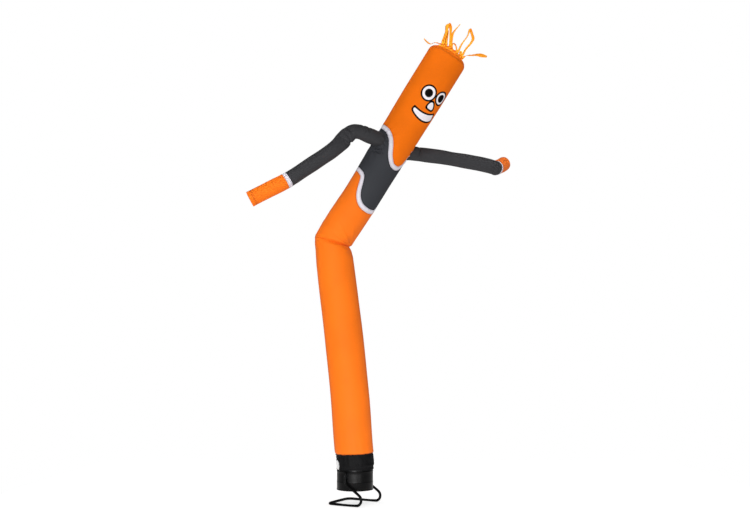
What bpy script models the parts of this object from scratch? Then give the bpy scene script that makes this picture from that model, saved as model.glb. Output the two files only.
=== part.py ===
"""Inflatable air dancer: a tall fabric tube figure that stands on its floor blower.

The figure is sewn from thin nylon panels: a long lower tube, a grey chest between two
wavy white trims, a head with a closed round top, two sleeves with wrist bands and open
hands, ribbons for hair, and a black cuff that fits over the blower's drum. The figure
is blown up but kinks at its knee, so it leans to +X above it. The blower is a steel
drum with an intake guard and a motor, held by a bent bar that stands on the floor.

Metres, +Z up. Everything is built about the drum's axis, and the root empty then puts
the origin on the floor under the middle of the whole figure.
"""
import math
from collections import namedtuple

import bmesh
import bpy
from mathutils import Matrix, Vector

# --- driving dimensions -------------------------------------------------------------
CLOTH = 0.002  # thickness of every cloth sheet
SEAM_GAP = 0.0004  # clearance between panels that are sewn edge to edge
FIT_GAP = 0.0003  # clearance between a piece and what it lies on
TUBE_SIDES = 32
SLEEVE_SIDES = 14

DRUM_RADIUS = 0.210
DRUM_BOTTOM = 0.160
DRUM_TOP = 0.480
DRUM_WALL = 0.0015
DRUM_SIDES = 48
LIP_WIDTH = 0.018
RIM_PROUD = 0.0025  # the rolled rim round the drum's lower end: how far out and how high
RIM_HIGH = 0.012
RIM_ROUND = 0.002
BEAD_HEIGHT = 0.372
BEAD_PROUD = 0.003
BEAD_FOOT = 0.008  # half height of the pressed bead at the drum and at its crest
BEAD_CREST = 0.003

GUARD_THICK = 0.004
GUARD_HUB = 0.055
GUARD_RINGS = 4
GUARD_SPOKES = 6
GUARD_WIRE = 0.006
GUARD_BORDER = 0.016
GUARD_CLEAR = 0.0012

MOTOR_RADIUS = 0.078
MOTOR_HEIGHT = 0.150

BAR_RADIUS = 0.013
BAR_FLAT = 0.0016  # depth of the flat on the underside, where the bar meets the floor
BAR_TURN = 62.0  # heading of the cross bar, degrees from +X
RUNNER_SPAN = 0.462  # between the two runners' centre lines
RUNNER_FAR = 0.350  # from the drum's axis to the runners' bends, and to the cross bar
RUNNER_NEAR = 0.225
CORNER_RADIUS = 0.064
PIVOT_HEIGHT = 0.330
BAR_TOP = 0.372
BAR_STRAIGHT = 0.125  # upright run of the bar past each pivot
BAR_SINK = 0.05  # depth and reach of the slab that cuts the flat
BAR_AREA = 2.0
BOLT_RADIUS = 0.005
BOLT_SIDES = 12
HEAD_RADIUS = 0.0095
HEAD_THICK = 0.006
STUD_SPARE = 0.002
PLATE_WIDE = 0.036
PLATE_HIGH = 0.056
BRACKET_THICK = 0.003

TRIM_WIDTH = 0.056
FRONT_AZIMUTH = 45.0  # the figure faces this far to +X from -Y

# The tube, section by section from the cuff to the shoulders of the head. along is the
# distance from the knee, wide and deep are half sizes across the lean and front to back,
# lean is the section's turn towards +X and nod how far it tips forward for each metre up.
Section = namedtuple("Section", "along x y z wide deep lean nod")
TUBE = [
    Section(-2.505, -0.008, 0.000, 0.5680, 0.2165, 0.2165, -2.0, 0.00),
    Section(-2.487, -0.010, 0.000, 0.5860, 0.2240, 0.2240, -2.0, 0.00),
    Section(-2.450, -0.015, 0.000, 0.6220, 0.2250, 0.2265, -2.5, 0.00),
    Section(-1.890, -0.058, 0.000, 1.1790, 0.2265, 0.2265, -5.0, 0.00),
    Section(-1.180, -0.132, 0.000, 1.8800, 0.2275, 0.2265, -7.0, 0.00),
    Section(-0.705, -0.191, 0.000, 2.3560, 0.2285, 0.2265, -7.0, 0.00),
    Section(-0.300, -0.241, 0.000, 2.7570, 0.2245, 0.2290, -5.0, 0.00),
    Section(-0.120, -0.2635, 0.000, 2.9380, 0.2205, 0.2300, 5.0, 0.04),
    Section(-0.040, -0.2755, 0.000, 3.0180, 0.2215, 0.2280, 14.0, 0.08),
    Section(0.000, -0.281, 0.000, 3.0575, 0.2220, 0.2160, 17.3, 0.11),
    Section(0.040, -0.2595, -0.009, 3.0912, 0.2215, 0.2270, 21.0, 0.14),
    Section(0.120, -0.2165, -0.026, 3.1587, 0.2215, 0.2280, 28.0, 0.18),
    Section(0.300, -0.1168, -0.065, 3.3085, 0.2235, 0.2260, 32.5, 0.218),
    Section(0.988, 0.2589, -0.2154, 3.8858, 0.2260, 0.2260, 32.8, 0.218),
    Section(1.565, 0.5739, -0.3412, 4.3694, 0.2320, 0.2300, 32.8, 0.218),
    Section(2.020, 0.8183, -0.4404, 4.7512, 0.2377, 0.2370, 32.5, 0.218),
    Section(2.475, 1.0628, -0.5396, 5.1319, 0.2386, 0.2386, 32.5, 0.218),
]
HEAD_CORNER = 0.090  # radius where the head's side turns into its top
HEAD_CORNER_TURN = 75.0  # degrees of that arc before the shallow dome begins
HEAD_DOME_STEPS = 3
HEAD_CORNER_STEPS = 4

# Distances along the tube of its panels' straight rings
LOWER_STATIONS = [
    -2.505, -2.487, -2.450, -2.170, -1.890, -1.530, -1.180, -0.940, -0.705,
    -0.500, -0.300, -0.200, -0.120, -0.040, 0.000, 0.040, 0.120, 0.200, 0.300,
]
HEAD_START = 1.680
HEAD_STATIONS = [1.850, 2.020, 2.250, 2.475]
TORSO_SPAN = (0.850, 1.750)  # the stretch that the sleeves end on

# A trim runs in two waves round the tube. level and rise set its height, bias makes the
# crests narrower than the troughs and sharpness makes the slopes between them steeper.
Wave = namedtuple("Wave", "level rise bias sharpness")
LOWER_TRIM = Wave(0.716, 0.184, 0.62, 3.2)
UPPER_TRIM = Wave(1.289, 0.161, 0.0, 1.5)

# Main creases in the tube: where, the middle and half span of the angle, depth, half length.
Crease = namedtuple("Crease", "along angle span depth reach")
CREASES = [
    Crease(0.000, 20.0, 85.0, 0.020, 0.020),
    Crease(0.120, 62.0, 30.0, 0.010, 0.060),
    Crease(-0.120, 66.0, 26.0, 0.009, 0.060),
]

# The black cuff, from its seam with the tube down to its hem: height and outer radius.
CuffRing = namedtuple("CuffRing", "z radius baggy")
CUFF_STRAP = (DRUM_RADIUS + SEAM_GAP) / math.cos(math.pi / TUBE_SIDES) + CLOTH
CUFF = [
    CuffRing(0.5675, 0.2165, 0.0),
    CuffRing(0.545, 0.2150, 0.0),
    CuffRing(0.505, 0.2155, 0.002),
    CuffRing(0.470, 0.2140, 0.006),
    CuffRing(0.445, 0.2150, 0.009),
    CuffRing(0.420, CUFF_STRAP, 0.0),
    CuffRing(0.393, 0.2150, 0.002),
]
CUFF_SEAM_LEAN = -2.0
PATCH_MIDDLE = -84.0  # the blank patch on the cuff: middle and half span of its angle
PATCH_SPAN = 27.0
PATCH_LOW = 0.398
PATCH_HIGH = 0.478
PATCH_THICK = 0.0015
PATCH_COLUMNS = 8

# Arms: a row for each section, from inside the chest to the open end of the hand. wide is
# the half size up and down and deep the half size front to back.
ArmRow = namedtuple("ArmRow", "piece x y z wide deep")
LEFT_ARM = [
    ArmRow("sleeve", 0.385, -0.335, 4.168, 0.078, 0.078),
    ArmRow("sleeve", 0.268, -0.450, 4.212, 0.080, 0.080),
    ArmRow("sleeve", 0.167, -0.505, 4.240, 0.088, 0.084),
    ArmRow("sleeve", 0.047, -0.545, 4.260, 0.0834, 0.084),
    ArmRow("sleeve", -0.016, -0.562, 4.258, 0.0860, 0.082),
    ArmRow("sleeve", -0.083, -0.576, 4.215, 0.1015, 0.066),
    ArmRow("sleeve", -0.134, -0.587, 4.150, 0.1060, 0.060),
    ArmRow("sleeve", -0.190, -0.597, 4.086, 0.0950, 0.076),
    ArmRow("sleeve", -0.245, -0.605, 4.033, 0.0875, 0.085),
    ArmRow("sleeve", -0.401, -0.620, 3.918, 0.0877, 0.087),
    ArmRow("sleeve", -0.573, -0.635, 3.796, 0.0868, 0.087),
    ArmRow("sleeve", -0.744, -0.650, 3.676, 0.0866, 0.087),
    ArmRow("band", -0.783, -0.654, 3.652, 0.0885, 0.0885),
    ArmRow("hand", -0.960, -0.671, 3.555, 0.0910, 0.0900),
    ArmRow("hand", -1.100, -0.684, 3.478, 0.0905, 0.0890),
    ArmRow("hand", -1.180, -0.691, 3.434, 0.0900, 0.0890),
]
RIGHT_ARM = [
    ArmRow("sleeve", 0.460, -0.205, 4.108, 0.080, 0.080),
    ArmRow("sleeve", 0.575, -0.127, 4.120, 0.083, 0.083),
    ArmRow("sleeve", 0.681, -0.098, 4.126, 0.087, 0.083),
    ArmRow("sleeve", 0.775, -0.074, 4.119, 0.0850, 0.076),
    ArmRow("sleeve", 0.850, -0.058, 4.113, 0.0870, 0.086),
    ArmRow("sleeve", 1.028, -0.020, 4.099, 0.0856, 0.087),
    ArmRow("sleeve", 1.282, 0.036, 4.070, 0.0870, 0.087),
    ArmRow("forearm", 1.560, 0.088, 4.030, 0.0892, 0.087),
    ArmRow("forearm", 1.682, 0.120, 4.008, 0.0900, 0.082),
    ArmRow("forearm", 1.752, 0.172, 4.004, 0.0895, 0.078),
    ArmRow("forearm", 1.789, 0.238, 4.026, 0.0880, 0.086),
    ArmRow("band", 1.808, 0.279, 4.041, 0.0885, 0.0885),
    ArmRow("hand", 1.839, 0.380, 4.080, 0.0900, 0.0900),
    ArmRow("hand", 1.871, 0.520, 4.128, 0.0905, 0.0900),
    ArmRow("hand", 1.899, 0.660, 4.184, 0.0900, 0.0890),
]
ARM_OPENING = 0.90  # armhole size as a share of the sleeve's

# Hair ribbons, sewn into one narrow strip over the head. root is a ribbon's place along
# the strip, in metres from its middle, and back the place where a looped one returns to
# it. Each bend is in metres towards +X, towards -Y and up from the middle of the head's
# top, with the ribbon's width there.
Ribbon = namedtuple("Ribbon", "root back bends")
Bend = namedtuple("Bend", "out front up wide")
CROWN_AZIMUTH = 118.0  # heading of the strip over the head's top
CROWN_REACH = 0.180
CROWN_WIDTH = 0.026
CROWN_THICK = 0.003
CROWN_STEPS = 12
RIBBON_THICK = 0.0022
RIBBON_ROOT = 0.020
RIBBON_RISE = 0.016
RIBBON_FACING = Vector((0.45, -0.85, 0.0))
RIBBONS = [
    Ribbon(-0.140, None, [
        Bend(-0.150, 0.094, 0.072, 0.014),
        Bend(-0.200, 0.118, 0.074, 0.012),
        Bend(-0.244, 0.140, 0.056, 0.016),
        Bend(-0.284, 0.154, 0.074, 0.018),
        Bend(-0.318, 0.164, 0.104, 0.010),
    ]),
    Ribbon(-0.112, -0.050, [
        Bend(-0.089, 0.050, 0.154, 0.024),
        Bend(-0.064, 0.054, 0.230, 0.030),
        Bend(-0.065, 0.058, 0.288, 0.038),
        Bend(-0.036, 0.056, 0.325, 0.042),
        Bend(-0.002, 0.048, 0.308, 0.040),
        Bend(0.010, 0.040, 0.256, 0.034),
        Bend(-0.008, 0.032, 0.178, 0.028),
    ]),
    Ribbon(-0.082, None, [
        Bend(-0.064, 0.020, 0.128, 0.026),
        Bend(-0.042, 0.008, 0.203, 0.022),
        Bend(-0.028, -0.010, 0.264, 0.014),
    ]),
    Ribbon(-0.005, None, [
        Bend(0.002, 0.000, 0.098, 0.028),
        Bend(0.016, 0.002, 0.160, 0.024),
        Bend(0.034, 0.006, 0.226, 0.020),
        Bend(0.077, 0.010, 0.280, 0.014),
        Bend(0.120, 0.014, 0.324, 0.012),
    ]),
    Ribbon(0.030, 0.082, [
        Bend(0.020, -0.016, 0.064, 0.013),
        Bend(0.043, -0.020, 0.092, 0.015),
        Bend(0.066, -0.028, 0.062, 0.013),
    ]),
    Ribbon(0.106, 0.146, [
        Bend(0.132, -0.052, 0.096, 0.018),
        Bend(0.212, -0.060, 0.234, 0.018),
        Bend(0.240, -0.064, 0.294, 0.030),
        Bend(0.268, -0.066, 0.222, 0.036),
        Bend(0.270, -0.066, 0.176, 0.034),
        Bend(0.242, -0.064, 0.124, 0.026),
        Bend(0.183, -0.064, 0.056, 0.020),
    ]),
    Ribbon(0.126, None, [
        Bend(0.120, -0.058, 0.010, 0.030),
        Bend(0.126, -0.066, 0.036, 0.022),
    ]),
    Ribbon(0.162, None, [
        Bend(0.190, -0.084, -0.032, 0.014),
        Bend(0.248, -0.090, -0.015, 0.018),
        Bend(0.309, -0.086, -0.008, 0.026),
        Bend(0.365, -0.080, -0.021, 0.038),
        Bend(0.424, -0.074, -0.034, 0.028),
    ]),
]

ORANGE = (0.90, 0.17, 0.02, 1.0)
GREY = (0.045, 0.046, 0.052, 1.0)
WHITE = (0.80, 0.78, 0.82, 1.0)
BLACK = (0.008, 0.008, 0.008, 1.0)
STEEL_BLACK = (0.012, 0.012, 0.012, 1.0)
DARK_METAL = (0.05, 0.05, 0.05, 1.0)
ARM_COLOURS = {"sleeve": GREY, "forearm": GREY, "band": WHITE, "hand": ORANGE}


# --- scene, materials and objects ----------------------------------------------------
def clear_scene():
    """Remove every object that the file holds."""
    for thing in list(bpy.data.objects):
        bpy.data.objects.remove(thing, do_unlink=True)


def new_collection(name):
    """Make a collection and link it to the scene."""
    made = bpy.data.collections.new(name)
    bpy.context.scene.collection.children.link(made)
    return made


clear_scene()
PARTS = new_collection("inflatable_air_dancer")
CUTTERS = new_collection("cutters")
ROOT = bpy.data.objects.new("figure_root", None)
PARTS.objects.link(ROOT)


def finish(name, colour, roughness, metallic=0.0):
    """One Principled material for one piece."""
    made = bpy.data.materials.new(name)
    made.use_nodes = True
    shader = made.node_tree.nodes["Principled BSDF"]
    shader.inputs["Base Color"].default_value = colour
    shader.inputs["Roughness"].default_value = roughness
    shader.inputs["Metallic"].default_value = metallic
    return made


def add_piece(name, mesh, colour, roughness, metallic=0.0):
    """Put a mesh into the parts collection as a named object on the root."""
    piece = bpy.data.objects.new(name, mesh)
    piece.data.materials.append(finish(name + "_finish", colour, roughness, metallic))
    piece.parent = ROOT
    PARTS.objects.link(piece)
    mesh.shade_smooth()
    mesh.set_sharp_from_angle(angle=math.radians(35.0))
    return piece


def add_cutter(name, mesh):
    """Put a mesh into the cutters collection, hidden from renders."""
    cutter = bpy.data.objects.new(name, mesh)
    cutter.parent = ROOT
    cutter.hide_render = True
    cutter.display_type = "WIRE"
    CUTTERS.objects.link(cutter)
    return cutter


def boolean(piece, cutter, operation):
    """Cut or join a piece with another object, exactly."""
    step = piece.modifiers.new(cutter.name, "BOOLEAN")
    step.object = cutter
    step.operation = operation
    step.solver = "EXACT"


def give_thickness(piece, thickness):
    """Turn an open sheet into a closed one that grows inwards."""
    step = piece.modifiers.new("thickness", "SOLIDIFY")
    step.thickness = thickness
    step.offset = -1.0


def mesh_from(bm, name):
    """Write a bmesh out as a mesh and free it."""
    mesh = bpy.data.meshes.new(name)
    bm.to_mesh(mesh)
    bm.free()
    return mesh


# --- lofting through rings -------------------------------------------------------------
def extrude_ring(bm, ring, places):
    """Extrude a closed ring of vertices and move each new vertex to its place."""
    made = bmesh.ops.extrude_edge_only(bm, edges=loop_edges(bm, ring))["geom"]
    fresh = {item for item in made if isinstance(item, bmesh.types.BMVert)}
    following = []
    for old in ring:
        near = [edge.other_vert(old) for edge in old.link_edges]
        following.append(next(vertex for vertex in near if vertex in fresh))
    for vertex, place in zip(following, places):
        vertex.co = place
    return following


def loop_edges(bm, ring):
    """The edges that join a closed ring of vertices."""
    return [bm.edges.get((a, b)) for a, b in zip(ring, ring[1:] + ring[:1])]


def skin(bm, rings):
    """Skin a list of rings of points; return the vertices of the first and the last ring."""
    made = bmesh.ops.create_circle(bm, segments=len(rings[0]), radius=1.0, cap_ends=False)
    first = made["verts"]
    for vertex, place in zip(first, rings[0]):
        vertex.co = place
    ring = first
    for places in rings[1:]:
        ring = extrude_ring(bm, ring, places)
    return first, ring


def solid_loft(name, rings):
    """A closed block through a list of rings."""
    bm = bmesh.new()
    for ring in skin(bm, rings):
        bm.faces.new(ring)
    bmesh.ops.recalc_face_normals(bm, faces=bm.faces[:])
    return mesh_from(bm, name)


def sheet_loft(name, outer, inner, poles=None):
    """A closed sheet between an outer and an inner list of rings.

    Its rings run up the outer face and down the inner one. poles, the outer and the inner
    point where the far end is drawn together, make them run down from one pole to the other.
    """
    bm = bmesh.new()
    if poles:
        for ring, pole in zip(skin(bm, outer[::-1] + inner), poles):
            tip = extrude_ring(bm, ring, [pole] * len(ring))
            bmesh.ops.pointmerge(bm, verts=tip, merge_co=pole)
    else:
        first, last = skin(bm, outer + inner[::-1])
        for a, b, c, d in zip(last, last[1:] + last[:1], first[1:] + first[:1], first):
            bm.faces.new((a, b, c, d))
    bmesh.ops.recalc_face_normals(bm, faces=bm.faces[:])
    return mesh_from(bm, name)


# --- the tube's surface ----------------------------------------------------------------
def mix(low, high, share):
    """A value between two, at a share of the way."""
    return low + (high - low) * share


def tube_section(along):
    """The tube's section at a distance along it, between the table's rows."""
    for low, high in zip(TUBE, TUBE[1:]):
        if along <= high.along:
            break
    share = (along - low.along) / (high.along - low.along)
    return Section(*(mix(a, b, share) for a, b in zip(low, high)))


def section_frame(section):
    """The section's centre and its directions across, to the front and along."""
    lean = math.radians(section.lean)
    across = Vector((math.cos(lean), 0.0, -math.sin(lean)))
    axis = Vector((math.sin(lean), -section.nod, math.cos(lean))).normalized()
    front = across.cross(axis)
    return Vector((section.x, section.y, section.z)), across, front, axis


def crease_depth(along, angle):
    """How far the main creases pull the cloth in at a point."""
    depth = 0.0
    for crease in CREASES:
        turn = (math.degrees(angle) - crease.angle + 180.0) % 360.0 - 180.0
        if abs(turn) < crease.span:
            window = math.cos(math.pi / 2.0 * turn / crease.span) ** 2
            run = (along - crease.along) / crease.reach
            depth += crease.depth * window * math.exp(-run * run)
    return depth


def tube_point(along, angle, proud=0.0):
    """A point on the tube. angle 0 is the front, towards -Y, and grows towards +X."""
    section = tube_section(along)
    centre, across, front, _ = section_frame(section)
    pull = crease_depth(along, angle) - proud
    return (
        centre
        + across * math.sin(angle) * (section.wide - pull)
        + front * math.cos(angle) * (section.deep - pull)
    )


def tube_angles():
    """The angle of each column of the tube's panels."""
    return [math.tau * step / TUBE_SIDES for step in range(TUBE_SIDES)]


def trim_height(wave, angle):
    """The middle line of a wavy trim, as a distance along the tube."""
    swing = math.cos(2.0 * (angle - math.radians(FRONT_AZIMUTH))) + wave.bias
    full = math.tanh(wave.sharpness * (1.0 + wave.bias))
    return wave.level - wave.rise * math.tanh(wave.sharpness * swing) / full


def trim_edge(wave, side, clear=0.0):
    """An edge of a trim, kept the same width along its slopes: side is -1 below, +1 above."""
    step = 0.02

    def edge(angle):
        rise = trim_height(wave, angle + step) - trim_height(wave, angle - step)
        slope = rise / (2.0 * step * TUBE[-4].wide)
        stretch = min(math.sqrt(1.0 + slope * slope), 2.4)
        return trim_height(wave, angle) + side * (TRIM_WIDTH / 2.0 + clear) * stretch

    return edge


def level(along):
    """An edge that runs straight round the tube."""
    return lambda angle: along


def edges_between(start, end, steps):
    """Edges spaced evenly from one to another, after the first."""
    made = []
    for step in range(1, steps + 1):
        made.append(lambda angle, share=step / steps: mix(start(angle), end(angle), share))
    return made


def tube_rings(edges, proud=0.0):
    """A ring of the tube's surface for each edge."""
    return [[tube_point(edge(a), a, proud) for a in tube_angles()] for edge in edges]


def head_profile():
    """(shrink, rise) of the rings that close the head: a corner arc, then a low dome."""
    rows = []
    last = math.radians(HEAD_CORNER_TURN)
    for step in range(1, HEAD_CORNER_STEPS + 1):
        turn = last * step / HEAD_CORNER_STEPS
        rows.append((HEAD_CORNER * (1.0 - math.cos(turn)), HEAD_CORNER * math.sin(turn)))
    shrink, rise = rows[-1]
    flat = TUBE[-1].wide - shrink
    bulge = flat / math.tan(last) / 2.0
    for step in range(1, HEAD_DOME_STEPS):
        left = 1.0 - step / HEAD_DOME_STEPS
        rows.append((TUBE[-1].wide - flat * left, rise + bulge * (1.0 - left * left)))
    return rows, rise + bulge


def head_top_point(across_share, front_share, proud=0.0):
    """A point on the head's dome from its two coordinates in the top section."""
    centre, across, front, axis = section_frame(TUBE[-1])
    rows, height = head_profile()
    out = math.hypot(across_share, front_share)
    shrink, rise = rows[HEAD_CORNER_STEPS - 1]
    flat = TUBE[-1].wide - shrink
    if out <= flat:
        up = height - (height - rise) * (out / flat) ** 2
    else:
        lean_in = 1.0 - (TUBE[-1].wide - out) / HEAD_CORNER
        up = HEAD_CORNER * math.sqrt(max(1.0 - lean_in * lean_in, 0.0))
    return centre + across * across_share + front * front_share + axis * (up + proud)


# --- cloth panels ------------------------------------------------------------------------
def tube_panel(name, edges, colour):
    """A panel of the tube, with one ring of points for each edge in the list."""
    mesh = sheet_loft(name, tube_rings(edges), tube_rings(edges, -CLOTH))
    return add_piece(name, mesh, colour, 0.6)


def build_lower_tube():
    """The long orange tube from the cuff through the knee to the lower trim."""
    edges = [level(along) for along in LOWER_STATIONS]
    edges += edges_between(edges[-1], trim_edge(LOWER_TRIM, -1, SEAM_GAP), 3)
    return tube_panel("lower_tube", edges, ORANGE)


def build_trim(name, wave):
    """A white wavy trim band."""
    low = trim_edge(wave, -1)
    return tube_panel(name, [low] + edges_between(low, trim_edge(wave, 1), 2), WHITE)


def build_chest():
    """The grey chest panel, with an armhole for each sleeve."""
    low = trim_edge(LOWER_TRIM, 1, SEAM_GAP)
    high = trim_edge(UPPER_TRIM, -1, SEAM_GAP)
    return tube_panel("chest_panel", [low] + edges_between(low, high, 8), GREY)


def head_rings(inset):
    """The rings that close the head over its shoulders, and the point at their middle."""
    centre, across, front, axis = section_frame(TUBE[-1])
    rows, height = head_profile()
    rings = []
    for shrink, rise in rows:
        out = TUBE[-1].wide - shrink - inset
        lift = centre + axis * (rise - inset * rise / height)
        rings.append([
            lift + (across * math.sin(a) + front * math.cos(a)) * out for a in tube_angles()
        ])
    return rings, centre + axis * (height - inset)


def build_head():
    """The orange head: a tube from the upper trim, closed by its round top."""
    start = trim_edge(UPPER_TRIM, 1, SEAM_GAP)
    edges = [start] + edges_between(start, level(HEAD_START), 3)
    edges += [level(along) for along in HEAD_STATIONS]
    outer, top = head_rings(0.0)
    inner, under = head_rings(CLOTH)
    mesh = sheet_loft(
        "head_panel", tube_rings(edges) + outer, tube_rings(edges, -CLOTH) + inner, (top, under)
    )
    return add_piece("head_panel", mesh, ORANGE, 0.6)


def cuff_ring(row, inset=0.0):
    """A ring of the cuff, which bags out on its +X side and follows the tube at its seam."""
    seam = row is CUFF[0]
    fall = math.tan(math.radians(CUFF_SEAM_LEAN)) if seam else 0.0
    ring = []
    for a in tube_angles():
        out = row.radius - inset + row.baggy * max(math.sin(a), 0.0)
        side = math.sin(a) * out
        place = Vector((side, -math.cos(a) * out, row.z - fall * side))
        ring.append(place + (Vector((TUBE[0].x, 0.0, -SEAM_GAP)) if seam else Vector()))
    return ring


def build_cuff():
    """The black cuff that fits over the drum."""
    outer = [cuff_ring(row) for row in CUFF]
    inner = [cuff_ring(row, CLOTH) for row in CUFF]
    return add_piece("base_cuff", sheet_loft("base_cuff", outer, inner), BLACK, 0.7)


def build_patch():
    """The blank white patch sewn to the cuff's side."""
    proud = PATCH_THICK + 2.0 * FIT_GAP
    rows = [row for row in CUFF if PATCH_LOW < row.z < PATCH_HIGH]
    heights = [PATCH_LOW] + sorted(row.z for row in rows) + [PATCH_HIGH]
    bm = bmesh.new()
    bmesh.ops.create_grid(bm, x_segments=PATCH_COLUMNS, y_segments=len(heights) - 1, size=1.0)
    for vertex in bm.verts:
        angle = math.radians(PATCH_MIDDLE + PATCH_SPAN * vertex.co.x)
        index = round((vertex.co.y + 1.0) / 2.0 * (len(heights) - 1))
        z = heights[index]
        out = cuff_radius_at(z) + proud
        vertex.co = (math.sin(angle) * out, -math.cos(angle) * out, z)
    bm.normal_update()
    bm.faces.ensure_lookup_table()
    face = bm.faces[0]
    if face.normal.dot(face.calc_center_median() * Vector((1.0, 1.0, 0.0))) < 0.0:
        bmesh.ops.reverse_faces(bm, faces=bm.faces[:])
    piece = add_piece("cuff_patch", mesh_from(bm, "cuff_patch"), WHITE, 0.5)
    give_thickness(piece, PATCH_THICK)
    return piece


def cuff_radius_at(z):
    """The cuff's outer radius on its -X side at a height."""
    for high, low in zip(CUFF, CUFF[1:]):
        if z >= low.z:
            break
    return mix(low.radius, high.radius, (z - low.z) / (high.z - low.z))


# --- arms ----------------------------------------------------------------------------------
def arm_rings(rows, scale=1.0, inset=0.0):
    """Rings square to an arm's route, carried along it without twisting, and its directions."""
    places = [Vector((row.x, row.y, row.z)) for row in rows]
    count = len(places)
    rings = []
    heads = []
    up = Vector((0.0, 0.0, 1.0))
    for index, place in enumerate(places):
        before = places[max(index - 1, 0)]
        after = places[min(index + 1, count - 1)]
        heading = (after - before).normalized()
        up = (up - heading * up.dot(heading)).normalized()
        side = heading.cross(up)
        row = rows[index]
        ring = []
        for step in range(SLEEVE_SIDES):
            angle = math.tau * step / SLEEVE_SIDES
            ring.append(
                place
                + up * math.cos(angle) * (row.wide * scale - inset)
                + side * math.sin(angle) * (row.deep * scale - inset)
            )
        rings.append(ring)
        heads.append(heading)
    return rings, heads


def torso_cutter():
    """The chest's outer surface as a closed block, a fit gap larger, to end the sleeves on."""
    low, high = (level(along) for along in TORSO_SPAN)
    rings = tube_rings([low] + edges_between(low, high, 10), FIT_GAP)
    return add_cutter("torso_cutter", solid_loft("torso_cutter", rings))


def build_arm(side, rows, chest, torso):
    """One arm's panels, from the sleeve that ends on the chest's armhole to the open hand."""
    outer, heads = arm_rings(rows)
    inner, _ = arm_rings(rows, inset=CLOTH)
    starts = {}
    for index, row in enumerate(rows):
        starts.setdefault(row.piece, index)
    pieces = list(starts)
    bounds = [0] + [starts[piece] - 1 for piece in pieces[1:]] + [len(rows) - 1]
    for index, piece in enumerate(pieces):
        first, last = bounds[index], bounds[index + 1]
        own = [rings[first:last + 1] for rings in (outer, inner)]
        if index:
            for rings in own:
                rings[0] = [point + heads[first] * SEAM_GAP for point in rings[0]]
        name = side + "_" + piece
        made = add_piece(name, sheet_loft(name, *own), ARM_COLOURS[piece], 0.6)
        if piece == "sleeve":
            boolean(made, torso, "DIFFERENCE")
    hole, _ = arm_rings(rows[:3], ARM_OPENING)
    cutter = add_cutter(side + "_armhole", solid_loft(side + "_armhole", hole))
    boolean(chest, cutter, "DIFFERENCE")


# --- hair ------------------------------------------------------------------------------------
def crown_point(run, proud):
    """A point on the line over the head that the hair strip follows."""
    heading = math.radians(CROWN_AZIMUTH)
    return head_top_point(math.sin(heading) * run, math.cos(heading) * run, proud)


def strip_mesh(name, places, widths, thickness, sideways):
    """A flat strip along a list of places; sideways gives the direction of its width."""
    rings = []
    count = len(places)
    for index, place in enumerate(places):
        heading = places[min(index + 1, count - 1)] - places[max(index - 1, 0)]
        heading.normalize()
        side = sideways(index) - heading * sideways(index).dot(heading)
        side.normalize()
        face = heading.cross(side)
        half, thin = widths[index] / 2.0, thickness / 2.0
        corners = ((1, 1), (-1, 1), (-1, -1), (1, -1))
        rings.append([place + side * half * a + face * thin * b for a, b in corners])
    return solid_loft(name, rings)


def smooth_route(points, steps):
    """Points on a Catmull-Rom curve through a list of vectors."""
    padded = [points[0] * 2.0 - points[1]] + points + [points[-1] * 2.0 - points[-2]]
    route = [points[0]]
    for a, b, c, d in zip(padded, padded[1:], padded[2:], padded[3:]):
        for step in range(1, steps + 1):
            t = step / steps
            route.append(
                0.5 * (2.0 * b + (c - a) * t + (2.0 * a - 5.0 * b + 4.0 * c - d) * t * t
                       + (3.0 * b - 3.0 * c + d - a) * t ** 3)
            )
    return route


def crown_frame(run):
    """The strip's direction along the head's top, across itself and away from the head."""
    heading = math.radians(CROWN_AZIMUTH)
    _, across, front, _ = section_frame(TUBE[-1])
    width_way = across * math.cos(heading) - front * math.sin(heading)
    along = (crown_point(run + 0.005, 0.0) - crown_point(run - 0.005, 0.0)).normalized()
    away = width_way.cross(along)
    return along, width_way, away if away.z > 0.0 else -away


def build_ribbon(number, ribbon, lift):
    """One hair ribbon as a flat strip that rises straight out of the crown strip."""
    top = head_top_point(0.0, 0.0)
    points = [top + Vector((bend.out, -bend.front, bend.up)) for bend in ribbon.bends]
    widths = [bend.wide for bend in ribbon.bends]
    along, _, away = crown_frame(ribbon.root)
    start = crown_point(ribbon.root, lift)
    points.insert(0, start + away * RIBBON_RISE)
    widths.insert(0, RIBBON_ROOT)
    if ribbon.back is not None:
        end = crown_point(ribbon.back, lift)
        points.append(end + crown_frame(ribbon.back)[2] * RIBBON_RISE)
        widths.append(RIBBON_ROOT)
    route = smooth_route(points, 2)
    spread = [widths[0]]
    for low, high in zip(widths, widths[1:]):
        spread += [mix(low, high, 0.5), high]
    route.insert(0, start)
    spread.insert(0, RIBBON_ROOT)
    if ribbon.back is not None:
        route.append(end)
        spread.append(RIBBON_ROOT)
    turned = Vector((RIBBON_FACING.x, RIBBON_FACING.y, 0.10 * (number % 3))).normalized()
    last = len(route) - 1

    def sideways(index):
        near = index if ribbon.back is None else min(index, last - index)
        return along.lerp(turned, min(near / 4.0, 1.0))

    return strip_mesh("ribbon_%d" % number, route, spread, RIBBON_THICK, sideways)


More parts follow.
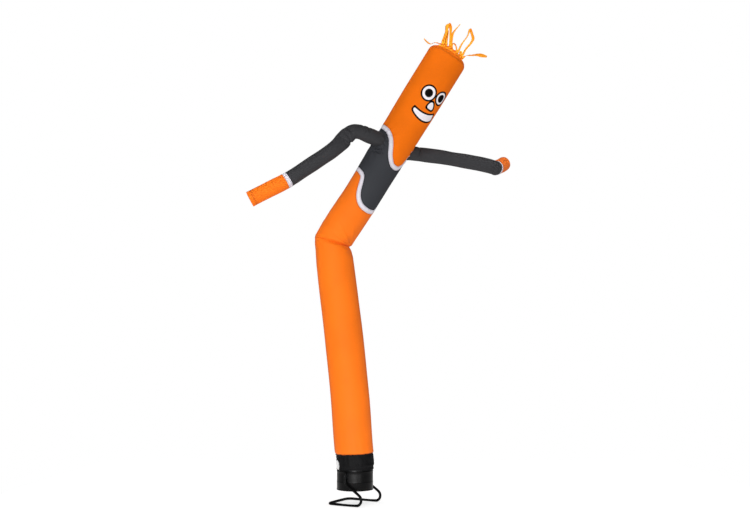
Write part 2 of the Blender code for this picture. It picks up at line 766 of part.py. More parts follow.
def build_hair():
    """The crown strip with its ribbons, joined at their roots."""
    lift = FIT_GAP + CROWN_THICK / 2.0
    runs = [
        mix(-CROWN_REACH, CROWN_REACH, step / CROWN_STEPS) for step in range(CROWN_STEPS + 1)
    ]
    places = [crown_point(run, lift) for run in runs]
    strip = strip_mesh(
        "hair_ribbons", places, [CROWN_WIDTH] * len(runs), CROWN_THICK,
        lambda index: crown_frame(runs[index])[1],
    )
    hair = add_piece("hair_ribbons", strip, ORANGE, 0.6)
    for number, ribbon in enumerate(RIBBONS):
        mesh = build_ribbon(number, ribbon, lift)
        boolean(hair, add_cutter("ribbon_%d" % number, mesh), "UNION")
    return hair


# --- blower ------------------------------------------------------------------------------------
def build_drum():
    """The steel drum: one profile turned about the axis, with a lip, a bead and rolled rims."""
    outer, inner = DRUM_RADIUS, DRUM_RADIUS - DRUM_WALL
    bead, rim, lip = outer + BEAD_PROUD, outer + RIM_PROUD, inner - LIP_WIDTH
    profile = [
        (inner, DRUM_TOP), (outer, DRUM_TOP),
        (outer, BEAD_HEIGHT + BEAD_FOOT), (bead, BEAD_HEIGHT + BEAD_CREST),
        (bead, BEAD_HEIGHT - BEAD_CREST), (outer, BEAD_HEIGHT - BEAD_FOOT),
        (outer, DRUM_BOTTOM + RIM_HIGH), (rim, DRUM_BOTTOM + RIM_HIGH / 2.0),
        (rim, DRUM_BOTTOM + RIM_ROUND), (outer, DRUM_BOTTOM),
        (lip, DRUM_BOTTOM), (lip, DRUM_BOTTOM + DRUM_WALL), (inner, DRUM_BOTTOM + DRUM_WALL),
    ]
    bm = bmesh.new()
    ring = [bm.verts.new((radius, 0.0, z)) for radius, z in profile]
    for a, b in zip(ring, ring[1:] + ring[:1]):
        bm.edges.new((a, b))
    piece = add_piece("blower_drum", mesh_from(bm, "blower_drum"), STEEL_BLACK, 0.28, 0.3)
    turn = piece.modifiers.new("turned", "SCREW")
    turn.steps = DRUM_SIDES
    turn.render_steps = DRUM_SIDES
    turn.use_merge_vertices = True
    turn.merge_threshold = 0.00005
    turn.use_normal_calculate = True
    return piece


def flat_outline(curve, points):
    """Add one closed straight-sided outline to a flat curve."""
    spline = curve.splines.new("POLY")
    spline.points.add(len(points) - 1)
    for point, (x, y) in zip(spline.points, points):
        point.co = (x, y, 0.0, 1.0)
    spline.use_cyclic_u = True


def arc_points(radius, start, end, steps):
    """Points along an arc about the axis, angles in radians."""
    angles = [mix(start, end, step / steps) for step in range(steps + 1)]
    return [(radius * math.cos(a), radius * math.sin(a)) for a in angles]


def build_guard():
    """The intake guard: a disc with curved slots between its rings and spokes."""
    edge = DRUM_RADIUS - DRUM_WALL - GUARD_CLEAR
    curve = bpy.data.curves.new("intake_guard", "CURVE")
    curve.dimensions = "2D"
    curve.fill_mode = "BOTH"
    curve.extrude = GUARD_THICK / 2.0
    last = DRUM_SIDES - 1
    flat_outline(curve, arc_points(edge, 0.0, math.tau * last / DRUM_SIDES, last))
    pitch = (edge - GUARD_BORDER - GUARD_HUB) / GUARD_RINGS
    for ring in range(GUARD_RINGS):
        inner = GUARD_HUB + ring * pitch
        outer = inner + pitch - GUARD_WIRE
        for spoke in range(GUARD_SPOKES):
            start = math.tau * spoke / GUARD_SPOKES + GUARD_WIRE / 2.0 / inner
            end = math.tau * (spoke + 1) / GUARD_SPOKES - GUARD_WIRE / 2.0 / inner
            outline = arc_points(outer, start, end, 5) + arc_points(inner, end, start, 5)
            flat_outline(curve, outline)
    flat = bpy.data.objects.new("guard_outline", curve)
    CUTTERS.objects.link(flat)
    bpy.context.view_layer.update()
    shaped = flat.evaluated_get(bpy.context.evaluated_depsgraph_get())
    mesh = bpy.data.meshes.new_from_object(shaped)
    bpy.data.objects.remove(flat)
    bm = bmesh.new()
    bm.from_mesh(mesh)
    bmesh.ops.remove_doubles(bm, verts=bm.verts[:], dist=0.00001)
    low = DRUM_BOTTOM + DRUM_WALL + FIT_GAP
    bmesh.ops.translate(bm, verts=bm.verts[:], vec=(0.0, 0.0, low + GUARD_THICK / 2.0))
    bm.to_mesh(mesh)
    bm.free()
    return add_piece("intake_guard", mesh, DARK_METAL, 0.45, 0.6)


def build_motor():
    """The motor that sits on the guard's hub."""
    bpy.ops.mesh.primitive_cylinder_add(vertices=24, radius=MOTOR_RADIUS, depth=MOTOR_HEIGHT)
    made = bpy.context.object
    mesh = made.data
    bpy.data.objects.remove(made)
    low = DRUM_BOTTOM + DRUM_WALL + 2.0 * FIT_GAP + GUARD_THICK
    mesh.transform(Matrix.Translation((0.0, 0.0, low + MOTOR_HEIGHT / 2.0)))
    piece = add_piece("blower_motor", mesh, DARK_METAL, 0.5, 0.5)
    edge = piece.modifiers.new("rounded", "BEVEL")
    edge.width = 0.008
    edge.segments = 2
    edge.limit_method = "ANGLE"
    return piece


# --- stand ---------------------------------------------------------------------------------------
def rounded_route(corners, radius, steps):
    """A route through corner points with each inner corner replaced by an arc."""
    route = [corners[0]]
    for before, corner, after in zip(corners, corners[1:], corners[2:]):
        back = (before - corner).normalized()
        ahead = (after - corner).normalized()
        half = back.angle(ahead) / 2.0
        reach = min(radius / math.tan(half), (before - corner).length * 0.48,
                    (after - corner).length * 0.48)
        bend = reach * math.tan(half)
        middle = corner + (back + ahead).normalized() * (bend / math.sin(half))
        start = corner + back * reach - middle
        end = corner + ahead * reach - middle
        for step in range(steps + 1):
            share = step / steps
            route.append(middle + arc_between(start, end, share))
    route.append(corners[-1])
    return route


def arc_between(start, end, share):
    """A vector turned part of the way from one to another of the same length."""
    angle = start.angle(end)
    return (start * math.sin((1.0 - share) * angle) + end * math.sin(share * angle)) / math.sin(
        angle
    )


def stand_directions():
    """The cross bar's direction and the runners' direction, on the floor."""
    turn = math.radians(BAR_TURN)
    cross = Vector((math.cos(turn), math.sin(turn), 0.0))
    return cross, Vector((cross.y, -cross.x, 0.0))


def build_stand():
    """The bent bar: two runners and a cross bar on the floor, with an arm up to each pivot."""
    cross, runner = stand_directions()
    z = BAR_RADIUS - BAR_FLAT
    floor = Vector((0.0, 0.0, z))
    pivot_out = DRUM_RADIUS + BRACKET_THICK + 3.0 * FIT_GAP + BAR_RADIUS
    half = RUNNER_SPAN / 2.0
    corners = []
    for side in (-1.0, 1.0):
        top = cross * side * pivot_out + Vector((0.0, 0.0, BAR_TOP))
        low = top - Vector((0.0, 0.0, BAR_STRAIGHT))
        foot = floor + cross * side * half + runner * RUNNER_FAR
        heel = floor + cross * side * half - runner * RUNNER_NEAR
        arm = [top, low, foot, heel]
        corners += arm if side < 0.0 else arm[::-1]
    route = rounded_route(corners, CORNER_RADIUS, 5)
    curve = bpy.data.curves.new("stand_bar", "CURVE")
    curve.dimensions = "3D"
    curve.bevel_depth = BAR_RADIUS
    curve.bevel_resolution = 3
    curve.use_fill_caps = True
    spline = curve.splines.new("POLY")
    spline.points.add(len(route) - 1)
    for point, place in zip(spline.points, route):
        point.co = (*place, 1.0)
    raw = bpy.data.objects.new("bar_route", curve)
    CUTTERS.objects.link(raw)
    bpy.context.view_layer.update()
    shaped = raw.evaluated_get(bpy.context.evaluated_depsgraph_get())
    mesh = bpy.data.meshes.new_from_object(shaped)
    bpy.data.objects.remove(raw)
    bm = bmesh.new()
    bm.from_mesh(mesh)
    bmesh.ops.remove_doubles(bm, verts=bm.verts[:], dist=0.00005)
    bmesh.ops.recalc_face_normals(bm, faces=bm.faces[:])
    bm.to_mesh(mesh)
    bm.free()
    stand = add_piece("stand_bar", mesh, STEEL_BLACK, 0.35, 0.3)
    slab = bmesh.new()
    bmesh.ops.create_cube(slab, size=1.0)
    bmesh.ops.scale(slab, vec=(BAR_AREA, BAR_AREA, BAR_SINK), verts=slab.verts[:])
    bmesh.ops.translate(slab, vec=(0.0, 0.0, -BAR_SINK / 2.0), verts=slab.verts[:])
    boolean(stand, add_cutter("floor_slab", mesh_from(slab, "floor_slab")), "DIFFERENCE")
    for side, name in ((-1.0, "front"), (1.0, "back")):
        hole = bolt_mesh(
            name + "_bolt_hole", cross * side, BOLT_RADIUS + FIT_GAP, 0.0, 4.0 * BAR_RADIUS
        )
        boolean(stand, add_cutter(name + "_bolt_hole", hole), "DIFFERENCE")
    return stand


def bolt_mesh(name, heading, radius, start, length):
    """A round bar along a horizontal direction at the pivots' height; start is from the drum."""
    bm = bmesh.new()
    bmesh.ops.create_cone(
        bm, cap_ends=True, segments=BOLT_SIDES, radius1=radius, radius2=radius, depth=length
    )
    turn = heading.to_track_quat("Z", "Y").to_matrix().to_4x4()
    place = heading * (DRUM_RADIUS + start + length / 2.0)
    place = place + Vector((0.0, 0.0, PIVOT_HEIGHT))
    bmesh.ops.transform(bm, matrix=Matrix.Translation(place) @ turn, verts=bm.verts[:])
    return mesh_from(bm, name)


def build_bracket(name, side):
    """A pivot bracket: a plate on the drum with a bolt through the bar and its head outside."""
    heading = stand_directions()[0] * side
    plate = bmesh.new()
    bmesh.ops.create_cube(plate, size=1.0)
    bmesh.ops.scale(plate, vec=(PLATE_WIDE, PLATE_HIGH, BRACKET_THICK), verts=plate.verts[:])
    turn = heading.to_track_quat("Z", "Y").to_matrix().to_4x4()
    place = heading * (DRUM_RADIUS + FIT_GAP + BRACKET_THICK / 2.0)
    place = place + Vector((0.0, 0.0, PIVOT_HEIGHT))
    bmesh.ops.transform(plate, matrix=Matrix.Translation(place) @ turn, verts=plate.verts[:])
    bracket = add_piece(name, mesh_from(plate, name), DARK_METAL, 0.4, 0.6)
    inside = FIT_GAP + BRACKET_THICK / 2.0
    reach = BRACKET_THICK / 2.0 + 2.0 * BAR_RADIUS + 4.0 * FIT_GAP
    stud = bolt_mesh(name + "_stud", heading, BOLT_RADIUS, inside, reach + STUD_SPARE)
    boolean(bracket, add_cutter(name + "_stud", stud), "UNION")
    head = bolt_mesh(name + "_head", heading, HEAD_RADIUS, inside + reach, HEAD_THICK)
    boolean(bracket, add_cutter(name + "_head", head), "UNION")
    return bracket


# --- assembly --------------------------------------------------------------------------------------
def centre_on_floor():
    """Move the root so that the origin is on the floor under the middle of the whole box."""
    bpy.context.view_layer.update()
    graph = bpy.context.evaluated_depsgraph_get()
    corners = []
    for piece in PARTS.objects:
        if piece.type == "MESH":
            shaped = piece.evaluated_get(graph)
            corners += [shaped.matrix_world @ v.co for v in shaped.data.vertices]
    low = [min(point[k] for point in corners) for k in range(3)]
    high = [max(point[k] for point in corners) for k in range(3)]
    ROOT.location = (-(low[0] + high[0]) / 2.0, -(low[1] + high[1]) / 2.0, -low[2])


def main():
    """Build every piece of the figure and its blower."""
    build_lower_tube()
    build_trim("lower_trim", LOWER_TRIM)
    chest = build_chest()
    build_trim("upper_trim", UPPER_TRIM)
    build_head()
    build_cuff()
    build_patch()
    torso = torso_cutter()
    build_arm("left", LEFT_ARM, chest, torso)
    build_arm("right", RIGHT_ARM, chest, torso)
    build_hair()
    build_drum()
    build_guard()
    build_motor()
    build_stand()
    build_bracket("front_pivot", -1.0)
    build_bracket("back_pivot", 1.0)
    centre_on_floor()


main()
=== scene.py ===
"""Dress the inflatable air dancer: sewn nylon figure, ribbon hair, black cuff and drum blower.

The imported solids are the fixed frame. Each sub-assembly is a class that replaces its solids
with finer pieces on the same sizes, in metres, +Z up. Places are measured from the blower
drum's axis on the floor, which the frame gives.
"""
import logging
import math
from dataclasses import dataclass, field
from enum import Enum
from typing import Callable

import bmesh
import bpy
import numpy as np
from mathutils import Matrix, Vector


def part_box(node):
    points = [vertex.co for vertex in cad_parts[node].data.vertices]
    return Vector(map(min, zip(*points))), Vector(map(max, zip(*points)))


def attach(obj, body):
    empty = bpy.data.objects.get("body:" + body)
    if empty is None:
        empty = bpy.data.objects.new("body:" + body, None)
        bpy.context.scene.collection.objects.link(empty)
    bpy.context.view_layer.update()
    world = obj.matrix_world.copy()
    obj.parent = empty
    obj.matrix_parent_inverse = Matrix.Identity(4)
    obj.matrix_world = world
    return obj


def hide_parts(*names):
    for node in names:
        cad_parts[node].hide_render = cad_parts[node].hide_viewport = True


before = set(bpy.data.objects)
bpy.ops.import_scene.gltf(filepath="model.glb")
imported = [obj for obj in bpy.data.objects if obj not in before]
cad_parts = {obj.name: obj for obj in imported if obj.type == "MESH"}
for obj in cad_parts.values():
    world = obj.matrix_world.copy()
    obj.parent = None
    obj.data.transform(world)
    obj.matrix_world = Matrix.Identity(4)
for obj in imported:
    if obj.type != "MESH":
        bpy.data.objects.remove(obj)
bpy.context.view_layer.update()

log = logging.getLogger("air_dancer")

Array = np.ndarray
Pair = tuple[Array, Array]
Edge = Callable[[Array], Array]
Place = Callable[[Array, Array], Array]
Maps = dict[str, Callable[[Array, Array], Pair]]
Triple = tuple[float, float, float]
Colour = Triple
Socket = bpy.types.NodeSocket
Piece = bpy.types.Object
Mesh = bmesh.types.BMesh

DRUM_LOW, DRUM_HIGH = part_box("blower_drum")
AXIS = Vector(((DRUM_LOW.x + DRUM_HIGH.x) / 2.0, (DRUM_LOW.y + DRUM_HIGH.y) / 2.0, 0.0))

# Sizes that several pieces share, in metres. Turns are in degrees from the front, towards +X.
CLOTH = 0.0009
TRIM_CLOTH = 0.0014
TRIM_PROUD = 0.0012
TUBE_RADIUS = 0.2255
TRIM_RADIUS = 0.2290
FACE_RADIUS = 0.236
HALF_GIRTH = 0.708
ARM_RADIUS = 0.0875
CUFF_RADIUS = 0.215
DRUM_RADIUS = 0.210
CUFF_SEAM = -2.505
CROWN_SEAM = 0.052
FACE_TURN = 39.0
SIDE_SEAM = -76.0


def srgb(red: float, green: float, blue: float) -> Colour:
    """Turn a display colour of 0 to 255 a channel into a linear one.

    Args:
        red, green, blue: the display values.

    Returns:
        The linear colour.
    """
    def channel(value: float) -> float:
        """One channel, from display to linear."""
        share = value / 255.0
        return share / 12.92 if share <= 0.04045 else ((share + 0.055) / 1.055) ** 2.4

    return channel(red), channel(green), channel(blue)


# --- materials ---
class Graph:
    """A material's node tree with short calls for the nodes that the finishes share."""

    def __init__(self, name: str) -> None:
        """Start a material with its Principled shader."""
        self.material = bpy.data.materials.new(name)
        self.material.use_nodes = True
        self.tree = self.material.node_tree
        self.shader = self.tree.nodes["Principled BSDF"]

    def node(self, kind: str, inputs: dict | None = None, **settings: object) -> bpy.types.Node:
        """Add a node.

        Args:
            kind: the node's type name, without its ShaderNode prefix.
            inputs: values or sockets for its inputs, by name or index.
            settings: properties to set on it.

        Returns:
            The node.
        """
        made = self.tree.nodes.new("ShaderNode" + kind)
        for name, value in settings.items():
            setattr(made, name, value)
        for key, value in (inputs or {}).items():
            if isinstance(value, Socket):
                self.tree.links.new(value, made.inputs[key])
            else:
                made.inputs[key].default_value = value
        return made

    def math(self, operation: str, *values: object) -> Socket:
        """One Math node on numbers or sockets; returns its output."""
        return self.node("Math", dict(enumerate(values)), operation=operation).outputs[0]

    def step(self, value: object, low: float, high: float, start: float = 0.0,
             end: float = 1.0) -> Socket:
        """A smooth step of a value from low to high, mapped from start to end."""
        made = self.node("MapRange", {0: value, 1: low, 2: high, 3: start, 4: end},
                         interpolation_type="SMOOTHSTEP")
        return made.outputs[0]

    def mix(self, share: object, first: object, second: object) -> Socket:
        """Mix two colours or colour sockets by a share."""
        pair = [value if isinstance(value, Socket) else (*value, 1.0)
                for value in (first, second)]
        made = self.node("Mix", {0: share, 6: pair[0], 7: pair[1]}, data_type="RGBA")
        return made.outputs[2]

    def shade(self, colour: object, factor: object) -> Socket:
        """Multiply a colour by a grey factor socket."""
        made = self.node("VectorMath", {0: colour, 1: factor}, operation="MULTIPLY")
        return made.outputs[0]

    def cloud(self, scale: float, detail: float = 3.0, vector: object = None,
              roughness: float = 0.5) -> Socket:
        """Noise on the given coordinates, or on the object's own; returns its value."""
        place = vector if vector is not None else self.node("TexCoord").outputs["Object"]
        made = self.node("TexNoise", {"Vector": place, "Scale": scale, "Detail": detail,
                                      "Roughness": roughness})
        return made.outputs[0]

    def cloth_place(self, name: str) -> tuple[Socket, Socket]:
        """The two coordinates of one of a cloth's own maps, in metres."""
        parts = self.node("SeparateXYZ", {0: self.node("UVMap", uv_map=name).outputs[0]})
        return parts.outputs[0], parts.outputs[1]

    def bump(self, height: object, distance: float, strength: float = 1.0,
             normal: object = None) -> Socket:
        """Raise the surface by a height socket; returns the normal."""
        inputs = {"Height": height, "Distance": distance, "Strength": strength}
        if normal is not None:
            inputs["Normal"] = normal
        return self.node("Bump", inputs).outputs[0]

    def finish(self, colour: object, roughness: object, normal: object = None,
               **fixed: object) -> bpy.types.Material:
        """Set the shader's inputs and return the material.

        Args:
            colour: base colour, as numbers or a socket.
            roughness: a number or a socket.
            normal: an optional normal socket.
            fixed: other inputs by name, with _ for spaces, as plain numbers or colours.

        Returns:
            The material.
        """
        values = {"Base Color": colour, "Roughness": roughness}
        if normal is not None:
            values["Normal"] = normal
        values.update({key.replace("_", " "): value for key, value in fixed.items()})
        for key, value in values.items():
            socket = self.shader.inputs[key]
            if isinstance(value, Socket):
                self.tree.links.new(value, socket)
            elif isinstance(value, tuple) and len(value) == 3 and len(socket.default_value) == 4:
                socket.default_value = (*value, 1.0)
            else:
                socket.default_value = value
        return self.material


@dataclass(frozen=True)
class Nylon:
    """Thin woven nylon with its thread, felled seams, stitches and handling marks."""

    name: str
    slot: str
    colour: Colour
    thread: Colour
    roughness: float = 0.68
    sheen: float = 0.02
    gloss: float = 0.16
    seam_shade: float = 0.86
    side_seams: bool = True
    pitch: float = 0.0011
    stitch: float = 0.0021
    stitch_rows: tuple[float, float] = (0.004, 0.0105)
    fell: tuple[float, float] = (0.011, 0.0135)
    side_fell: tuple[float, float] = (0.0085, 0.0105)
    pucker_reach: float = 0.055
    weave_height: float = 0.00007
    pucker_height: float = 0.0011
    stitch_height: float = 0.0006

    def weave(self, graph: Graph, u: object, v: object) -> Socket:
        """The height of the plain weave, from the cloth's own coordinates."""
        turn = math.tau / self.pitch
        warp = graph.math("SINE", graph.math("MULTIPLY", u, turn))
        weft = graph.math("SINE", graph.math("MULTIPLY", v, turn))
        return graph.math("MULTIPLY", warp, weft)

    def side_distance(self, graph: Graph, u: object) -> Socket:
        """Distance from the nearer of the two lengthwise seams, which lie half a turn apart."""
        return graph.math("PINGPONG", u, HALF_GIRTH)

    def stitches(self, graph: Graph, run: object, gap: object) -> Socket:
        """Two rows of lockstitch beside a seam or hem."""
        dash = graph.step(graph.math("PINGPONG", run, self.stitch), 0.0005, 0.0008)
        rows = []
        for place in self.stitch_rows:
            off = graph.math("ABSOLUTE", graph.math("SUBTRACT", gap, place))
            rows.append(graph.step(off, 0.0006, 0.0010, 1.0, 0.0))
        return graph.math("MULTIPLY", dash, graph.math("MAXIMUM", *rows))

    def printed(self, graph: Graph, colour: object) -> object:
        """The base colour with any print on it; plain cloth has none."""
        return colour

    def build(self) -> bpy.types.Material:
        """Make the material.

        Returns:
            The nylon's material.
        """
        graph = Graph(self.name)
        u, v = graph.cloth_place("Cloth")
        run, gap = graph.cloth_place("Edge")
        flat = graph.node("CombineXYZ", {0: u, 1: v}).outputs[0]
        weave = self.weave(graph, u, v)
        stitch = self.stitches(graph, run, gap)
        felled = graph.step(gap, *self.fell, 1.0, 0.0)
        if self.side_seams:
            side = self.side_distance(graph, u)
            felled = graph.math("MAXIMUM", felled, graph.step(side, *self.side_fell, 1.0, 0.0))
            stitch = graph.math("MAXIMUM", stitch, self.stitches(graph, v, side))
        broad = graph.cloud(2.6, 4.0)
        fine = graph.cloud(55.0, 3.0, flat)
        colour = self.printed(graph, self.colour)
        tone = graph.math("MULTIPLY", graph.step(broad, 0.3, 0.7, 0.95, 1.035),
                          graph.step(fine, 0.25, 0.75, 0.975, 1.02))
        tone = graph.math("MULTIPLY", tone, graph.step(weave, -1.0, 1.0, 0.97, 1.015))
        tone = graph.math("MULTIPLY", tone, graph.step(felled, 0.0, 1.0, 1.0, self.seam_shade))
        colour = graph.shade(colour, tone)
        colour = graph.mix(stitch, colour, self.thread)
        pucker = graph.cloud(38.0, 2.0, flat)
        near = graph.step(gap, 0.0, self.pucker_reach, 1.0, 0.0)
        height = graph.math("MULTIPLY_ADD", pucker, graph.math("MULTIPLY", near, 1.6), felled)
        normal = graph.bump(weave, self.weave_height, 0.5)
        normal = graph.bump(height, self.pucker_height, 0.8, normal)
        normal = graph.bump(stitch, self.stitch_height, 0.8, normal)
        rough = graph.step(fine, 0.2, 0.8, self.roughness - 0.05, self.roughness + 0.06)
        return graph.finish(
            colour, rough, normal, Sheen_Weight=self.sheen, Sheen_Roughness=0.45,
            Specular_IOR_Level=self.gloss,
        )


@dataclass(frozen=True)
class FacePrint(Nylon):
    """Nylon with a plain smiling face printed on it: round eyes, a blunt nose and a smile."""

    white: Colour = srgb(234, 228, 232)
    ink: Colour = (0.0030, 0.0018, 0.0018)
    line: float = 0.0195
    eyes: tuple[Triple, ...] = ((-0.095, 2.033, 0.0970), (0.089, 2.057, 0.0900))
    pupil: float = 0.0480
    nose_middle: tuple[float, float] = (0.012, 1.915)
    nose_sides: tuple[tuple[float, float], ...] = ((-90.0, 0.052), (33.0, 0.060), (166.0, 0.060))
    nose_radius: float = 0.074
    nose_blend: float = 0.045
    lower_lip: Triple = (-0.004, 2.004, 0.286)
    upper_lip: Triple = (-0.060, 2.180, 0.355)
    smile_limit: Triple = (0.0, 1.776, 0.177)
    smile_blend: float = 0.024
    ink_edge: float = 0.0008

    def disc(self, graph: Graph, u: object, v: object, across: float, along: float,
             radius: float) -> Socket:
        """Distance outside a circle on the cloth, negative inside it."""
        place = graph.node("CombineXYZ", {0: u, 1: v}).outputs[0]
        far = graph.node("VectorMath", {0: place, 1: (across, along, 0.0)}, operation="DISTANCE")
        return graph.math("SUBTRACT", far.outputs["Value"], radius)

    def blunt(self, graph: Graph, bounds: list, blend: float) -> Socket:
        """The form inside every bound, with its corners blended."""
        whole = bounds[0]
        for bound in bounds[1:]:
            whole = graph.math("SMOOTH_MAX", whole, bound, blend)
        return whole

    def nose(self, graph: Graph, u: object, v: object) -> Socket:
        """Distance outside a triangle with round corners, its point upwards."""
        across, along = self.nose_middle
        sides = []
        for turn, reach in self.nose_sides:
            lean = math.radians(turn)
            part = graph.math("MULTIPLY", graph.math("SUBTRACT", u, across), math.cos(lean))
            height = graph.math("SUBTRACT", v, along)
            whole = graph.math("MULTIPLY_ADD", height, math.sin(lean), part)
            sides.append(graph.math("SUBTRACT", whole, reach))
        sides.append(self.disc(graph, u, v, across, along, self.nose_radius))
        return self.blunt(graph, sides, self.nose_blend)

    def smile(self, graph: Graph, u: object, v: object) -> Socket:
        """Distance outside a crescent with blunt ends."""
        high = graph.math("MULTIPLY", self.disc(graph, u, v, *self.upper_lip), -1.0)
        return self.blunt(graph, [self.disc(graph, u, v, *self.lower_lip), high,
                                  self.disc(graph, u, v, *self.smile_limit)], self.smile_blend)

    def printed(self, graph: Graph, colour: object) -> object:
        """The cloth's colour under the white and black inks."""
        u, v = graph.cloth_place("Face")
        near = graph.math("MINIMUM", self.nose(graph, u, v), self.smile(graph, u, v))
        pupils = []
        for across, along, radius in self.eyes:
            near = graph.math("MINIMUM", near, self.disc(graph, u, v, across, along, radius))
            pupils.append(self.disc(graph, u, v, across, along, self.pupil))
        pupil = graph.math("MINIMUM", *pupils)
        for outline, inset, ink in ((near, 0.0, self.ink), (near, self.line, self.white),
                                    (pupil, 0.0, self.ink)):
            inside = graph.step(outline, -inset - self.ink_edge, -inset + self.ink_edge, 1.0, 0.0)
            colour = graph.mix(inside, colour, ink)
        return colour


@dataclass(frozen=True)
class Paint:
    """Gloss or satin paint on steel, with orange peel, dust and scuffs."""

    name: str
    slot: str
    colour: Colour
    roughness: float
    gloss: float = 0.25
    dust: float = 0.25
    dust_colour: Colour = srgb(92, 86, 80)
    bare: Colour = srgb(96, 94, 92)

    def build(self) -> bpy.types.Material:
        """Make the material.

        Returns:
            The paint's material.
        """
        graph = Graph(self.name)
        grime = graph.step(graph.cloud(9.0, 5.0), 0.52, 0.78, 0.0, self.dust)
        colour = graph.mix(grime, self.colour, self.dust_colour)
        scuff = graph.step(graph.cloud(140.0, 2.0), 0.70, 0.76, 0.0, 0.35)
        colour = graph.mix(scuff, colour, self.bare)
        rough = graph.math("MULTIPLY_ADD", grime, 0.5, self.roughness)
        rough = graph.math("MULTIPLY_ADD", graph.cloud(30.0, 3.0), 0.08, rough)
        normal = graph.bump(graph.cloud(420.0, 1.0), 0.0002, 0.25)
        return graph.finish(colour, rough, normal, Specular_IOR_Level=self.gloss)


@dataclass(frozen=True)
class Steel:
    """Blackened steel with fine spangle and dull patches."""

    name: str
    slot: str
    colour: Colour
    roughness: float = 0.38

    def build(self) -> bpy.types.Material:
        """Make the material.

        Returns:
            The steel's material.
        """
        graph = Graph(self.name)
        spangle = graph.cloud(160.0, 2.0)
        colour = graph.mix(graph.step(spangle, 0.3, 0.7), self.colour,
                           tuple(channel * 0.7 for channel in self.colour))
        rough = graph.math("MULTIPLY_ADD", spangle, 0.25, self.roughness - 0.1)
        normal = graph.bump(graph.cloud(500.0, 2.0), 0.0001, 0.3)
        return graph.finish(colour, rough, normal, Metallic=1.0)


@dataclass(frozen=True)
class FloorFinish:
    """Plain pale matt floor, lit from below as a light table is."""

    name: str = "studio_floor"
    colour: Colour = (0.90, 0.90, 0.90)
    glow: float = 0.60

    def build(self) -> bpy.types.Material:
        """Make the material.

        Returns:
            The floor's material.
        """
        graph = Graph(self.name)
        tone = graph.step(graph.cloud(1.4, 3.0), 0.3, 0.7, 0.985, 1.0)
        return graph.finish(graph.shade(self.colour, tone), 0.9, Specular_IOR_Level=0.0,
                            Emission_Color=(1.0, 1.0, 1.0), Emission_Strength=self.glow)


class Finishes:
    """Every finish of the figure and its blower, each built once."""

    def __init__(self) -> None:
        """Build the materials."""
        orange, orange_thread = (0.82, 0.155, 0.0035), srgb(190, 84, 18)
        black = (0.0026, 0.0026, 0.0028)
        self.specs = {
            "tube": Nylon("orange_nylon", "orange_nylon", orange, orange_thread),
            "face": FacePrint("printed_nylon", "orange_nylon", orange, orange_thread,
                              sheen=0.0, gloss=0.06),
            "hand": Nylon("hand_nylon", "orange_nylon", orange, orange_thread, side_seams=False),
            "chest": Nylon("grey_nylon", "grey_nylon", (0.033, 0.035, 0.041), srgb(20, 20, 23)),
            "sleeve": Nylon("sleeve_nylon", "grey_nylon", (0.034, 0.034, 0.037), srgb(20, 20, 22),
                            side_seams=False),
            "trim": Nylon("white_nylon", "white_nylon", (0.66, 0.63, 0.69), srgb(150, 146, 158),
                          seam_shade=0.93, side_seams=False),
            "cuff": Nylon("black_nylon", "black_nylon", (0.0050, 0.0050, 0.0055),
                          srgb(34, 34, 36), roughness=0.6, sheen=0.0, gloss=0.06, side_seams=False,
                          pitch=0.0018),
            "ribbon": Nylon("ribbon_nylon", "ribbon_nylon", (1.0, 0.385, 0.020),
                            srgb(206, 120, 30), side_seams=False, seam_shade=1.0),
            "patch": Nylon("patch_nylon", "white_nylon", srgb(226, 226, 226), srgb(150, 150, 152),
                           side_seams=False, roughness=0.5),
            "drum": Paint("drum_paint", "drum_paint", black, 0.25, gloss=0.075, dust=0.006),
            "bar": Paint("stand_paint", "stand_paint", black, 0.34, gloss=0.05, dust=0.012),
            "guard": Paint("guard_paint", "guard_steel", (0.008, 0.008, 0.008), 0.45, dust=0.05),
            "motor": Paint("motor_cover", "motor_plastic", (0.010, 0.010, 0.010), 0.5,
                           dust=0.08),
            "pivot": Steel("black_steel", "pivot_steel", srgb(46, 46, 48)),
        }
        self.made = {key: spec.build() for key, spec in self.specs.items()}

    def dress(self, piece: Piece, key: str, *nodes: str) -> None:
        """Give a piece its finish and body, and hide the solids that it stands for.

        Args:
            piece: the piece.
            key: its finish.
            nodes: the solids that it replaces.
        """
        piece.data.materials.clear()
        piece.data.materials.append(self.made[key])
        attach(piece, "root")
        if nodes:
            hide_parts(*nodes)
        log.info("%s: %d faces, %s", piece.name, len(piece.data.polygons), key)


# --- shared mesh work ---
def ripples(places: Array, wavelength: float, seed: int, count: int = 8) -> Array:
    """Irregular smooth waves, about -1 to 1, made of a few plane waves.

    Args:
        places: points, one a row, in metres.
        wavelength: about the distance between crests.
        seed: fixes the waves.
        count: how many waves are added.

    Returns:
        A height for each point.
    """
    draw = np.random.default_rng(seed)
    ways = draw.normal(size=(count, 3))
    ways /= np.linalg.norm(ways, axis=1)[:, None]
    lengths = wavelength * draw.uniform(0.7, 1.6, count)
    phases = draw.uniform(0.0, math.tau, count)
    waves = np.sin(places @ (ways / lengths[:, None]).T * math.tau + phases)
    return waves.sum(axis=1) / math.sqrt(count)


@dataclass(frozen=True)
class Ripple:
    """Waves of the cloth: their height, the distance between crests, a seed and a stretch."""

    depth: float
    length: float
    seed: int
    stretch: Triple = (1.0, 1.0, 1.0)

    def height(self, solid: Array) -> Array:
        """The waves' height at points laid round a straight middle line."""
        return self.depth * ripples(solid * np.array(self.stretch), self.length, self.seed)


def straightened(angle: Array, radius: float, along: Array) -> Array:
    """Points at angles and distances along, laid round a straight middle line."""
    return np.stack([np.sin(angle) * radius, np.cos(angle) * radius, along], axis=1)


def unit(rows: Array) -> Array:
    """Rows scaled to length 1."""
    return rows / np.linalg.norm(rows, axis=1)[:, None]


